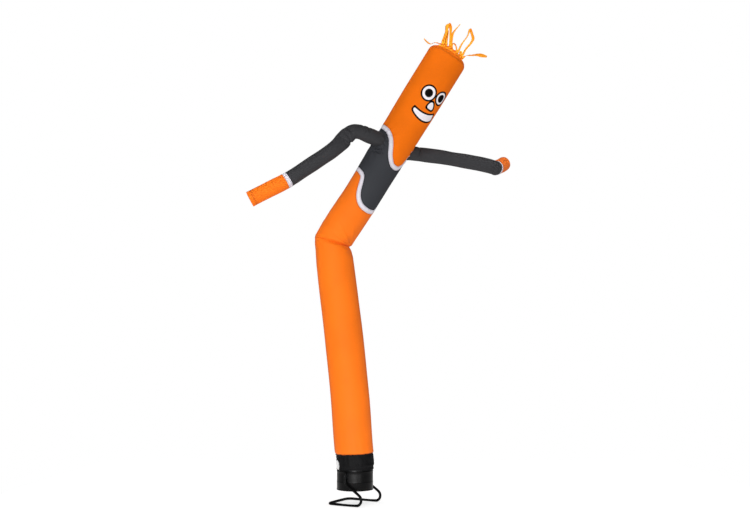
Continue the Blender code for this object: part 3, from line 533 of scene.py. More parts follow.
def hermite(knots: Array, values: Array, slopes: Array, at: Array) -> Array:
    """Follow the cubic curve through rows of values with a given slope at each.

    Args:
        knots: the place of each row.
        values: the rows.
        slopes: the slope at each row.
        at: the places asked for.

    Returns:
        The values at each place, one row a place.
    """
    low = np.clip(np.searchsorted(knots, at, side="right") - 1, 0, len(knots) - 2)
    run = (knots[low + 1] - knots[low])[:, None]
    t = (at - knots[low])[:, None] / run
    return (
        (2.0 * t ** 3 - 3.0 * t ** 2 + 1.0) * values[low]
        + (t ** 3 - 2.0 * t ** 2 + t) * run * slopes[low]
        + (3.0 * t ** 2 - 2.0 * t ** 3) * values[low + 1]
        + (t ** 3 - t ** 2) * run * slopes[low + 1]
    )


class Track:
    """Smooth values through a table of rows, never past them: the first column is the place."""

    def __init__(self, table: list[tuple[float, ...]]) -> None:
        """Work out the slope at each row."""
        rows = np.array(table, float)
        self.knots, self.values = rows[:, 0], rows[:, 1:]
        run = np.diff(self.knots)[:, None]
        rise = np.diff(self.values, axis=0) / run
        slopes = np.zeros_like(self.values)
        slopes[0], slopes[-1] = rise[0], rise[-1]
        before, after = rise[:-1], rise[1:]
        same = before * after > 0.0
        total = np.where(same, before + after, 1.0)
        slopes[1:-1] = np.where(same, 2.0 * before * after / total, 0.0)
        self.slopes = slopes

    def at(self, place: Array) -> Array:
        """The table's values at each place, one row a place."""
        place = np.clip(place, self.knots[0], self.knots[-1])
        return hermite(self.knots, self.values, self.slopes, place)


def add_object(name: str, bm: Mesh, smooth: bool = True, sharp: float | None = None) -> Piece:
    """Turn a bmesh into a linked object at the origin.

    Args:
        name: the piece's name.
        bm: the mesh, which is freed.
        smooth: whether its faces shade smooth.
        sharp: the angle in degrees past which an edge stays sharp.

    Returns:
        The object.
    """
    mesh = bpy.data.meshes.new(name)
    bm.to_mesh(mesh)
    bm.free()
    if smooth:
        mesh.shade_smooth()
    if sharp is not None:
        mesh.set_sharp_from_angle(angle=math.radians(sharp))
    made = bpy.data.objects.new(name, mesh)
    bpy.context.scene.collection.objects.link(made)
    return made


def mapped_sheet(name: str, columns: int, rows: int, place: Place, maps: Maps,
                 core: Place | None = None, thickness: float = CLOTH,
                 cut: Callable[[Array], Array] | None = None) -> Piece:
    """Map a grid onto a surface and give it thickness.

    Args:
        name: the piece's name.
        columns, rows: faces round and along.
        place: gives the points at shares 0 to 1 round and along.
        maps: the cloth's own coordinates, by map name, from the same shares.
        core: points inside the surface; with it the sheet is closed round, and faces outwards.
        thickness: the cloth's thickness, which grows inwards.
        cut: tells from face centres which faces to leave out.

    Returns:
        The sheet.
    """
    bm = bmesh.new()
    bmesh.ops.create_grid(bm, x_segments=columns, y_segments=rows, size=1.0)
    flat = np.array([vertex.co[:2] for vertex in bm.verts])
    around, up = (flat[:, 0] + 1.0) / 2.0, (flat[:, 1] + 1.0) / 2.0
    places = place(around, up)
    for vertex, point in zip(bm.verts, places):
        vertex.co = point
    drawn = {key: np.stack(rule(around, up), axis=1) for key, rule in maps.items()}
    for key, values in drawn.items():
        layer = bm.loops.layers.uv.new(key)
        for face in bm.faces:
            for loop in face.loops:
                loop[layer].uv = values[loop.vert.index]
    if core is not None:
        bm.normal_update()
        away = places - core(around, up)
        outward = sum(vertex.normal.dot(Vector(step)) for vertex, step in zip(bm.verts, away))
        if outward < 0.0:
            bmesh.ops.reverse_faces(bm, faces=bm.faces[:])
        bmesh.ops.remove_doubles(bm, verts=bm.verts[:], dist=0.00002)
    if cut is not None:
        centres = np.array([face.calc_center_median() for face in bm.faces])
        gone = [face for face, out in zip(bm.faces[:], cut(centres)) if out]
        bmesh.ops.delete(bm, geom=gone, context="FACES")
    made = add_object(name, bm)
    if thickness:
        wall = made.modifiers.new("thickness", "SOLIDIFY")
        wall.thickness = thickness
        wall.offset = -1.0
    return made


class Route:
    """A smooth path with a frame carried along it without twisting."""

    def __init__(self, places: Array, sizes: Array, up: Vector, samples: int = 700) -> None:
        """Sample the path finely.

        Args:
            places: points on the path.
            sizes: two half sizes at each point.
            up: the first direction of the frame.
            samples: how finely the path is sampled.
        """
        chord = np.concatenate([[0.0], np.cumsum(np.linalg.norm(np.diff(places, axis=0), axis=1))])
        track = Track(np.column_stack([chord, sizes]).tolist())
        along = np.linspace(0.0, chord[-1], samples)
        self.knots = chord
        self.points = hermite(chord, places, np.gradient(places, chord, axis=0), along)
        self.along = along
        self.sizes = track.at(along)
        heading = unit(np.gradient(self.points, axis=0))
        ups, now = [], np.array(up, float)
        for way in heading:
            now = now - way * now.dot(way)
            now = now / np.linalg.norm(now)
            ups.append(now)
        self.ups = np.array(ups)
        self.heading = heading
        self.sides = np.cross(heading, self.ups)

    def take(self, values: Array, at: Array) -> Array:
        """Values of the samples at distances along the path."""
        return np.stack([np.interp(at, self.along, column) for column in values.T], axis=1)

    def centre(self, at: Array) -> Array:
        """Points on the path."""
        return self.take(self.points, at)

    def surface(self, at: Array, angle: Array, proud: Array | float = 0.0) -> Array:
        """Points round the path.

        Args:
            at: distances along it.
            angle: angle from the frame's first direction, in radians.
            proud: how far outside the path's own size.

        Returns:
            The points.
        """
        size = self.take(self.sizes, at)
        return (
            self.centre(at)
            + self.take(self.ups, at) * (np.cos(angle) * (size[:, 0] + proud))[:, None]
            + self.take(self.sides, at) * (np.sin(angle) * (size[:, 1] + proud))[:, None]
        )

    @property
    def length(self) -> float:
        """The path's length."""
        return float(self.along[-1])


# --- the figure's tube ---
@dataclass(frozen=True)
class Wave:
    """A trim that dips at the front and, less, at the back: turn from its lowest point, height."""

    steps: tuple[tuple[float, float], ...]
    width: float = 0.052
    lowest: float = math.radians(52.0)
    radius: float = TRIM_RADIUS

    def height(self, angle: Array) -> Array:
        """The trim's middle line, as a distance along the tube."""
        turn = np.abs((angle - self.lowest + math.pi) % math.tau - math.pi)
        return Track(list(self.steps)).at(np.degrees(turn).ravel())[:, 0].reshape(angle.shape)

    def edge(self, side: float) -> Edge:
        """Follow an edge of the trim, half its width from the middle and square to its run.

        Args:
            side: -1 for the lower edge, 1 for the upper.

        Returns:
            The distance along the tube at each angle.
        """
        turn = np.linspace(-0.6, math.tau + 0.6, 1800)
        line = np.stack([turn * self.radius, self.height(turn)], axis=1)
        way = unit(np.gradient(line, axis=0))
        out = side * self.width / 2.0
        across = np.maximum.accumulate(line[:, 0] - way[:, 1] * out) / self.radius
        evened = np.interp(turn, across, line[:, 1] + way[:, 0] * out)
        evened = np.convolve(np.pad(evened, 12, mode="edge"), np.ones(25) / 25.0, mode="valid")
        return lambda angle: np.interp(angle % math.tau, turn, evened)

    def run(self) -> float:
        """The length of the trim's middle line."""
        turn = np.linspace(0.0, math.tau, 721)
        line = np.stack([turn * self.radius, self.height(turn)], axis=1)
        return float(np.linalg.norm(np.diff(line, axis=0), axis=1).sum())


def slant(edge: Edge, angle: Array) -> Array:
    """How much longer a slanting edge is than its run round the tube, at each angle."""
    step = 0.02
    slope = (edge(angle + step) - edge(angle - step)) / (2.0 * step * TRIM_RADIUS)
    return np.sqrt(1.0 + slope * slope)


@dataclass(frozen=True)
class Fan:
    """Pull lines that spread from a point of the tube: where, how many, how deep, which way."""

    along: float
    angle: float
    inner: float
    reach: float
    lines: float
    depth: float
    toward: float = 0.0
    span: float = 360.0
    phase: float = 0.0
    onset: float = 0.03
    wander: float = 1.1
    width: float = 0.42
    ground: float = 0.35

    def height(self, along: Array, angle: Array) -> Array:
        """The pull lines' height at points of the tube."""
        turn = (angle - math.radians(self.angle) + math.pi) % math.tau - math.pi
        side, up = turn * TUBE_RADIUS, along - self.along
        far = np.hypot(side, up)
        way = np.arctan2(up, side)
        off = (np.degrees(way) - self.toward + 180.0) % 360.0 - 180.0
        window = np.ones_like(off) if self.span >= 360.0 else np.exp(-((off / self.span) ** 2))
        fade = np.clip((far - self.inner) / self.onset, 0.0, 1.0)
        fade = fade * np.exp(-((np.maximum(far - self.inner, 0.0) / self.reach) ** 2))
        bent = way * self.lines + self.phase + self.wander * np.sin(2.0 * way + self.phase)
        ridges = np.exp(-((np.sin(bent / 2.0) / self.width) ** 2))
        return self.depth * window * fade * (ridges - self.ground)


@dataclass(frozen=True)
class Crease:
    """A fold across a tube: distance along, angle, half span, depth, half width and slant."""

    along: float
    angle: float
    span: float
    depth: float
    reach: float
    slant: float = 0.0

    def height(self, along: Array, angle: Array) -> Array:
        """How far the fold moves the cloth, inwards below zero."""
        turn = (np.degrees(angle) - self.angle + 180.0) % 360.0 - 180.0
        inside = np.abs(turn) < self.span
        window = np.where(inside, np.cos(math.pi / 2.0 * turn / self.span) ** 2, 0.0)
        run = (along - self.along - self.slant * np.radians(turn)) / self.reach
        return -self.depth * window * np.exp(-run * run)


LOWER_WAVE = Wave(((0.0, 0.530), (15.0, 0.534), (30.0, 0.546), (42.0, 0.574), (50.0, 0.602),
                   (59.0, 0.652), (66.0, 0.722), (71.0, 0.788), (77.0, 0.838), (84.0, 0.858),
                   (97.0, 0.870), (116.0, 0.878), (130.0, 0.866), (141.0, 0.810),
                   (150.0, 0.724), (160.0, 0.650), (170.0, 0.620), (180.0, 0.612)))
UPPER_WAVE = Wave(((0.0, 1.118), (12.0, 1.126), (24.0, 1.158), (37.0, 1.218), (50.0, 1.312),
                   (62.0, 1.378), (74.0, 1.416), (82.0, 1.432), (97.0, 1.441), (116.0, 1.446),
                   (130.0, 1.432), (142.0, 1.368), (152.0, 1.284), (162.0, 1.226),
                   (171.0, 1.204), (180.0, 1.200)))


@dataclass
class TubeShape:
    """The figure's tube from the cuff to the pole of the head's top, with its creases."""

    rows: list[tuple[float, ...]] = field(default_factory=lambda: [
        (CUFF_SEAM, -0.008, 0.000, 0.5680, 0.2165, 0.2165, -2.0, 0.00),
        (-2.487, -0.010, 0.000, 0.5860, 0.2240, 0.2240, -2.0, 0.00),
        (-2.450, -0.015, 0.000, 0.6220, 0.2250, 0.2265, -2.5, 0.00),
        (-1.890, -0.058, 0.000, 1.1790, 0.2265, 0.2265, -5.0, 0.00),
        (-1.180, -0.132, 0.000, 1.8800, 0.2275, 0.2265, -7.0, 0.00),
        (-0.705, -0.191, 0.000, 2.3560, 0.2285, 0.2265, -7.0, 0.00),
        (-0.300, -0.241, 0.000, 2.7570, 0.2245, 0.2290, -5.0, 0.00),
        (-0.120, -0.2635, 0.000, 2.9380, 0.2205, 0.2300, 5.0, 0.04),
        (-0.040, -0.2755, 0.000, 3.0180, 0.2215, 0.2280, 14.0, 0.08),
        (0.000, -0.281, 0.000, 3.0575, 0.2220, 0.2160, 17.3, 0.11),
        (0.040, -0.2595, -0.009, 3.0912, 0.2215, 0.2270, 21.0, 0.14),
        (0.120, -0.2165, -0.026, 3.1587, 0.2215, 0.2280, 28.0, 0.18),
        (0.300, -0.1168, -0.065, 3.3085, 0.2235, 0.2260, 32.5, 0.218),
        (0.640, 0.0812, -0.1406, 3.5980, 0.2215, 0.2250, 32.7, 0.218),
        (0.988, 0.2639, -0.2154, 3.8858, 0.2235, 0.2260, 32.8, 0.218),
        (1.565, 0.5739, -0.3412, 4.3694, 0.2320, 0.2300, 32.8, 0.218),
        (2.020, 0.8183, -0.4404, 4.7512, 0.2377, 0.2370, 32.5, 0.218),
        (2.475, 1.0628, -0.5396, 5.1319, 0.2386, 0.2386, 32.5, 0.218),
    ])
    round: float = TUBE_RADIUS
    shoulder: float = 2.475
    corner: float = 0.090
    corner_turn: float = math.radians(75.0)
    creases: tuple[Crease, ...] = (
        Crease(0.000, 22.0, 100.0, 0.012, 0.0085),
        Crease(0.000, 66.0, 60.0, 0.016, 0.022),
        Crease(0.004, -54.0, 52.0, 0.011, 0.009),
        Crease(0.120, 62.0, 30.0, 0.010, 0.060),
        Crease(-0.120, 66.0, 26.0, 0.009, 0.060),
        Crease(0.026, 10.0, 62.0, -0.005, 0.016, 0.010),
        Crease(0.062, 44.0, 44.0, 0.006, 0.014, -0.020),
        Crease(0.098, 38.0, 40.0, -0.004, 0.018, -0.045),
        Crease(-0.050, 58.0, 40.0, 0.006, 0.014, 0.020),
        Crease(-0.004, -62.0, 34.0, -0.005, 0.014, 0.0),
    )
    fans: tuple[Fan, ...] = (
        Fan(0.000, 88.0, 0.045, 0.25, 15.0, 0.0120, 140.0, 46.0, 0.4),
        Fan(-0.010, 86.0, 0.045, 0.18, 13.0, 0.0060, -140.0, 42.0, 1.7),
        Fan(0.000, -70.0, 0.030, 0.14, 12.0, 0.0042, 0.0, 60.0, 0.9),
    )
    slack: Ripple = Ripple(1.0, 1.3, 5)
    long_waves: Ripple = Ripple(0.0015, 0.19, 11, (1.0, 1.0, 0.22))
    broad_waves: Ripple = Ripple(0.0016, 0.62, 12)
    gathers: Ripple = Ripple(0.0021, 0.060, 21, (1.0, 1.0, 0.35))
    knee_waves: Ripple = Ripple(0.0022, 0.075, 31, (0.5, 0.5, 1.0))
    cuff_waves: Ripple = Ripple(0.0020, 0.085, 41, (1.0, 1.0, 0.2))
    gather_reach: float = 0.045
    knee_reach: float = 0.22
    cuff_reach: float = 0.16
    seam_depth: float = 0.0022
    seam_reach: float = 0.007
    crown_fade: float = 0.10

    def __post_init__(self) -> None:
        """Prepare the table and the head's top."""
        self.track = Track(self.rows)
        self.top_radius = self.rows[-1][4]
        self.arc = self.corner * self.corner_turn
        self.flat = self.top_radius - self.corner * (1.0 - math.cos(self.corner_turn))
        self.bulge = self.flat / math.tan(self.corner_turn) / 2.0
        self.pole = self.shoulder + self.arc + self.flat
        self.arm_pulls: list[Fan | Crease] = []
        self.seams = [wave.edge(side) for wave in (LOWER_WAVE, UPPER_WAVE)
                      for side in (-1.0, 1.0)]

    def frame(self, along: Array) -> tuple[Array, ...]:
        """The sections at distances along the tube.

        Args:
            along: distances from the knee.

        Returns:
            Centres, directions across, to the front and along, and the half sizes.
        """
        values = self.track.at(along)
        lean, nod = np.radians(values[:, 5]), values[:, 6]
        none = np.zeros_like(lean)
        across = np.stack([np.cos(lean), none, -np.sin(lean)], axis=1)
        axis = unit(np.stack([np.sin(lean), -nod, np.cos(lean)], axis=1))
        return (values[:, :3] + np.array(AXIS), across, np.cross(across, axis), axis,
                values[:, 3:5])

    def closing(self, along: Array) -> tuple[Array, Array, Array]:
        """How the head closes: shrink and rise past its shoulder, and the turn of its side."""
        past = np.maximum(along - self.shoulder, 0.0)
        turn = np.minimum(past / self.corner, self.corner_turn)
        share = np.clip((past - self.arc) / self.flat, 0.0, 1.0)
        shrink = self.corner * (1.0 - np.cos(turn)) + self.flat * share
        rise = self.corner * np.sin(turn) + self.bulge * (1.0 - (1.0 - share) ** 2)
        return shrink, rise, turn + (math.pi / 2.0 - self.corner_turn) * share

    def seam_distance(self, along: Array, angle: Array) -> Array:
        """Distance along the tube to the nearest seam round it."""
        gaps = [np.abs(along - edge(angle)) / slant(edge, angle) for edge in self.seams]
        gaps += [np.abs(along - height) for height in (CUFF_SEAM, self.shoulder + CROWN_SEAM)]
        return np.min(gaps, axis=0)

    def relief(self, along: Array, angle: Array) -> Array:
        """How far the cloth stands out of its smooth shape, by creases, puckers and waves."""
        solid = straightened(angle, self.round, along)
        height = np.zeros_like(along)
        for form in (*self.creases, *self.fans, *self.arm_pulls):
            height += form.height(along, angle)
        slack = 0.6 + 0.4 * np.tanh(self.slack.height(solid))
        height += self.long_waves.height(solid) * slack + self.broad_waves.height(solid)
        gap = self.seam_distance(along, angle)
        height += np.exp(-gap / self.gather_reach) * self.gathers.height(solid)
        height -= self.seam_depth * np.exp(-((gap / self.seam_reach) ** 2))
        height += np.exp(-((along / self.knee_reach) ** 2)) * self.knee_waves.height(solid)
        below = np.exp(-(along - CUFF_SEAM) / self.cuff_reach)
        return height + below * self.cuff_waves.height(solid)

    def surface(self, along: Array, angle: Array, proud: Array | float = 0.0) -> Array:
        """Points on the tube.

        Args:
            along: distances from the knee.
            angle: angle from the front, towards +X, in radians.
            proud: how far outside the cloth's surface.

        Returns:
            The points.
        """
        centre, across, front, axis, size = self.frame(along)
        shrink, rise, turn = self.closing(along)
        fade = np.clip((self.pole - along) / self.crown_fade, 0.0, 1.0)
        height = self.relief(along, angle) * fade + proud
        out = height * np.cos(turn) - shrink
        lift = rise + height * np.sin(turn)
        return (
            centre
            + across * (np.sin(angle) * (size[:, 0] + out))[:, None]
            + front * (np.cos(angle) * (size[:, 1] + out))[:, None]
            + axis * lift[:, None]
        )

    def locate(self, points: Array) -> tuple[Array, Array, Array]:
        """Where points lie by the straight upper tube.

        Args:
            points: points near the chest.

        Returns:
            Distance along, angle, and distance outside the smooth surface.
        """
        along = np.full(len(points), 1.3)
        for _ in range(4):
            centre, across, front, axis, size = self.frame(along)
            along = along + np.einsum("ij,ij->i", points - centre, axis)
        side = np.einsum("ij,ij->i", points - centre, across) / size[:, 0]
        ahead = np.einsum("ij,ij->i", points - centre, front) / size[:, 1]
        return along, np.arctan2(side, ahead), (np.hypot(side, ahead) - 1.0) * self.round


def level(along: float) -> Edge:
    """An edge that runs straight round the tube."""
    return lambda angle: np.full_like(angle, along)


@dataclass
class TubePanel:
    """One sewn panel of the tube between two edges that run round it."""

    name: str
    finish: str
    low: Edge
    high: Edge
    columns: int
    rows: int
    tuck_low: float = 0.006
    tuck_high: float = 0.006
    proud: float = 0.0
    thickness: float = CLOTH
    seams: tuple[float, ...] = ()
    dense: Triple | None = None
    strip: Wave | None = None

    def spaced(self, up: Array) -> Array:
        """Shares along the panel, closer together where it is creased."""
        if self.dense is None:
            return up
        middle, spread, weight = self.dense
        steps = np.linspace(0.0, 1.0, 800)
        density = 1.0 + weight * np.exp(-(((steps - middle) / spread) ** 2))
        total = np.concatenate([[0.0], np.cumsum((density[1:] + density[:-1]) / 2.0)])
        return np.interp(up, total / total[-1], steps)

    def station(self, around: Array, up: Array) -> Pair:
        """Distance along the tube and angle at shares of the panel."""
        angle = around * math.tau + math.radians(SIDE_SEAM)
        low, high = self.low(angle) - self.tuck_low, self.high(angle) + self.tuck_high
        return low + (high - low) * self.spaced(up), angle

    def build(self, tube: TubeShape, finishes: Finishes,
              cut: Callable[[Array], Array] | None = None) -> None:
        """Make the panel and dress it.

        Args:
            tube: the tube's shape.
            finishes: the finishes.
            cut: tells which faces to leave out, for the armholes.
        """
        def place(around: Array, up: Array) -> Array:
            """Points on the panel."""
            along, angle = self.station(around, up)
            return tube.surface(along, angle, self.proud)

        def core(around: Array, up: Array) -> Array:
            """Points on the tube's middle line."""
            along, _ = self.station(around, up)
            return tube.frame(np.minimum(along, tube.shoulder - 0.1))[0]

        def cloth(around: Array, up: Array) -> Pair:
            """Metres round from the lengthwise seam, and along."""
            return around * math.tau * tube.round, self.station(around, up)[0]

        def hem(around: Array, up: Array) -> Pair:
            """Metres along the nearest seam, and from it."""
            along, angle = self.station(around, up)
            near = np.minimum((along - self.low(angle)) / slant(self.low, angle),
                              (self.high(angle) - along) / slant(self.high, angle))
            for line in self.seams:
                near = np.minimum(near, np.abs(along - line))
            return around * math.tau * tube.round, near

        def front(around: Array, up: Array) -> Pair:
            """Metres round from the face's middle, and along."""
            along, angle = self.station(around, up)
            return (angle - math.radians(FACE_TURN)) * FACE_RADIUS, along

        maps: Maps = {"Cloth": cloth, "Edge": hem}
        if self.finish == "face":
            maps["Face"] = front
        made = mapped_sheet(self.name + "_cloth", self.columns, self.rows, place, maps, core,
                            self.thickness, cut)
        finishes.dress(made, self.finish, self.name)
        turn = np.linspace(0.0, math.tau, 361)
        low, high = self.low(turn), self.high(turn)
        round_size = math.tau * tube.round
        length = float(high.max() - low.min())
        if self.strip is not None:
            round_size, length = self.strip.width, self.strip.run()


# --- arms ---
class Side(Enum):
    """The figure's two arms, as seen from the front."""

    LEFT = "left"
    RIGHT = "right"


@dataclass
class Arm:
    """An arm: sleeve, wrist band and open hand on one route out of the chest."""

    side: Side
    rows: list[tuple[float, float, float, float, float]]
    band_row: int
    folds: tuple[Crease, ...]
    forearm: tuple[str, ...] = ()
    columns: int = 72
    row_height: float = 0.0065
    hem: float = 0.045
    hem_proud: float = 0.0008
    pull: tuple[float, float, float, float] = (0.083, 0.105, 15.0, 0.0180)
    pull_creases: tuple[Triple, ...] = ((0.094, 12.0, 0.024), (0.118, 24.0, 0.018),
                                        (0.140, 8.0, 0.012))
    root_gather: tuple[float, float] = (0.0075, 0.065)
    seam_gather: tuple[float, float] = (0.0014, 0.028)
    seam_groove: tuple[float, float] = (0.0018, 0.005)
    armhole_radius: float = 0.066
    armhole_search: float = 0.16

    def __post_init__(self) -> None:
        """Make the route."""
        table = np.array(self.rows)
        self.route = Route(table[:, :3] + np.array(AXIS), table[:, 3:5], Vector((0, 0, 1)))
        self.band_start = float(self.route.knots[self.band_row - 1])
        self.hand_start = float(self.route.knots[self.band_row])
        self.around = math.tau * ARM_RADIUS
        self.seed = 3 if self.side is Side.LEFT else 9
        self.waves = (Ripple(0.0012, 0.11, self.seed, (1.0, 1.0, 0.4)),
                      Ripple(0.0012, 0.30, self.seed + 1))
        self.gathers = Ripple(1.0, 0.040, self.seed + 2, (1.0, 1.0, 0.3))
        self.root_table = (np.zeros(2), np.zeros(2))

    def join(self, tube: TubeShape) -> None:
        """Find where the sleeve meets the chest all round, and pull the chest's cloth there.

        Args:
            tube: the figure's tube.
        """
        turn = np.linspace(-math.pi, math.pi, 181)
        low, high = np.zeros_like(turn), np.full_like(turn, self.band_start * 0.6)
        for _ in range(26):
            middle = (low + high) / 2.0
            outside = tube.locate(self.route.surface(middle, turn))[2] > 0.0
            low, high = np.where(outside, low, middle), np.where(outside, middle, high)
        self.root_table = (turn, (low + high) / 2.0)
        centre = self.route.surface(self.root_table[1], turn).mean(axis=0)[None]
        along, angle, _ = tube.locate(centre)
        height, turned_to = float(along[0]), math.degrees(float(angle[0]))
        tube.arm_pulls.append(Fan(height, turned_to, *self.pull, phase=float(self.seed)))
        inner, share = (1.0, 1.0) if self.side is Side.LEFT else (-1.0, 0.5)
        for below, across, deep in self.pull_creases:
            tube.arm_pulls.append(Crease(height - below, turned_to + inner * across, 24.0,
                                         deep * share, 0.010, inner * 0.08))

    def root(self, angle: Array) -> Array:
        """Distance along the arm at which the chest's seam crosses each angle."""
        turn = (angle + math.pi) % math.tau - math.pi
        return np.interp(turn, *self.root_table)

    def relief(self, along: Array, angle: Array) -> Array:
        """How far the cloth stands out, by folds, gathers at the seams and waves."""
        solid = straightened(angle, ARM_RADIUS, along)
        height = np.zeros_like(along)
        for fold in self.folds:
            height += fold.height(along, angle)
        for wave in self.waves:
            height += wave.height(solid)
        start = along - self.root(angle)
        lines = [start, np.abs(along - self.band_start), np.abs(along - self.hand_start),
                 np.abs(along - self.route.length + self.hem)]
        fine = self.gathers.height(solid)
        for far, (depth, reach) in ((np.maximum(start, 0.0), self.root_gather),
                                    (np.min(lines[1:], axis=0), self.seam_gather)):
            height += depth * np.exp(-far / reach) * fine
        depth, reach = self.seam_groove
        height -= depth * np.exp(-((np.min(lines[:3], axis=0) / reach) ** 2))
        return height + self.hem_proud * (along > self.route.length - self.hem)

    def piece(self, name: str, finish: str, rows: int, low: Edge, high: Edge,
              finishes: Finishes, holds: str, proud: float = 0.0,
              more: tuple[str, ...] = ()) -> None:
        """Make one panel of the arm and dress it.

        Args:
            name: the solid that it replaces.
            finish: its finish.
            rows: faces along it.
            low, high: its two edges, as distances along the arm.
            finishes: the finishes.
            holds: what it is sewn to; not used.
            proud: how far outside the arm's surface it lies.
            more: further solids that it replaces.
        """
        def station(around: Array, up: Array) -> Pair:
            """Distance along the arm and angle at shares of the panel."""
            angle = around * math.tau + math.pi
            start, end = low(angle), high(angle)
            return start + (end - start) * up, angle

        def place(around: Array, up: Array) -> Array:
            """Points on the panel."""
            along, angle = station(around, up)
            return self.route.surface(along, angle, self.relief(along, angle) + proud)

        def core(around: Array, up: Array) -> Array:
            """Points on the arm's middle line."""
            return self.route.centre(station(around, up)[0])

        def cloth(around: Array, up: Array) -> Pair:
            """Metres round and along."""
            return around * self.around, station(around, up)[0]

        def edge(around: Array, up: Array) -> Pair:
            """Metres along the nearest seam, and from it."""
            along, angle = station(around, up)
            near = np.minimum(along - low(angle), high(angle) - along)
            if finish == "hand":
                near = np.minimum(along - low(angle),
                                  np.abs(along - self.route.length + self.hem))
            return around * self.around, near

        made = mapped_sheet(name + "_cloth", self.columns, rows, place,
                            {"Cloth": cloth, "Edge": edge}, core)
        finishes.dress(made, finish, name, *more)
        turn = np.linspace(0.0, math.tau, 181)
        start, end = low(turn), high(turn)

    def build(self, finishes: Finishes) -> None:
        """Make and dress the arm's three panels."""
        name = self.side.value
        sleeve = self.band_start - float(self.root_table[1].min())
        sleeve_rows = int(sleeve / self.row_height)
        hand_rows = int((self.route.length - self.hand_start) / self.row_height)
        self.piece(name + "_sleeve", "sleeve", sleeve_rows, lambda angle: self.root(angle) - 0.006,
                   level(self.band_start + 0.004), finishes, "chest_panel_cloth", 0.0,
                   self.forearm)
        self.piece(name + "_band", "trim", 12, level(self.band_start - 0.001),
                   level(self.hand_start + 0.001), finishes, name + "_sleeve_cloth", TRIM_PROUD)
        self.piece(name + "_hand", "hand", hand_rows, level(self.hand_start - 0.004),
                   level(self.route.length), finishes, name + "_band_cloth")

    def armhole(self, centres: Array) -> Array:
        """Tell which of the chest's faces lie inside the sleeve's root."""
        near = float(self.root_table[1].mean())
        at = np.linspace(max(near - self.armhole_search, 0.0), near + self.armhole_search, 65)
        line = self.route.centre(at)
        gap = np.linalg.norm(centres[:, None, :] - line[None, :, :], axis=2).min(axis=1)
        return gap < self.armhole_radius


# --- hair ---
@dataclass(frozen=True)
class Ribbon:
    """A hair ribbon: its root and return on the crown strip, and its bends from the head's top."""

    root: float
    back: float | None
    bends: tuple[tuple[float, float, float, float], ...]


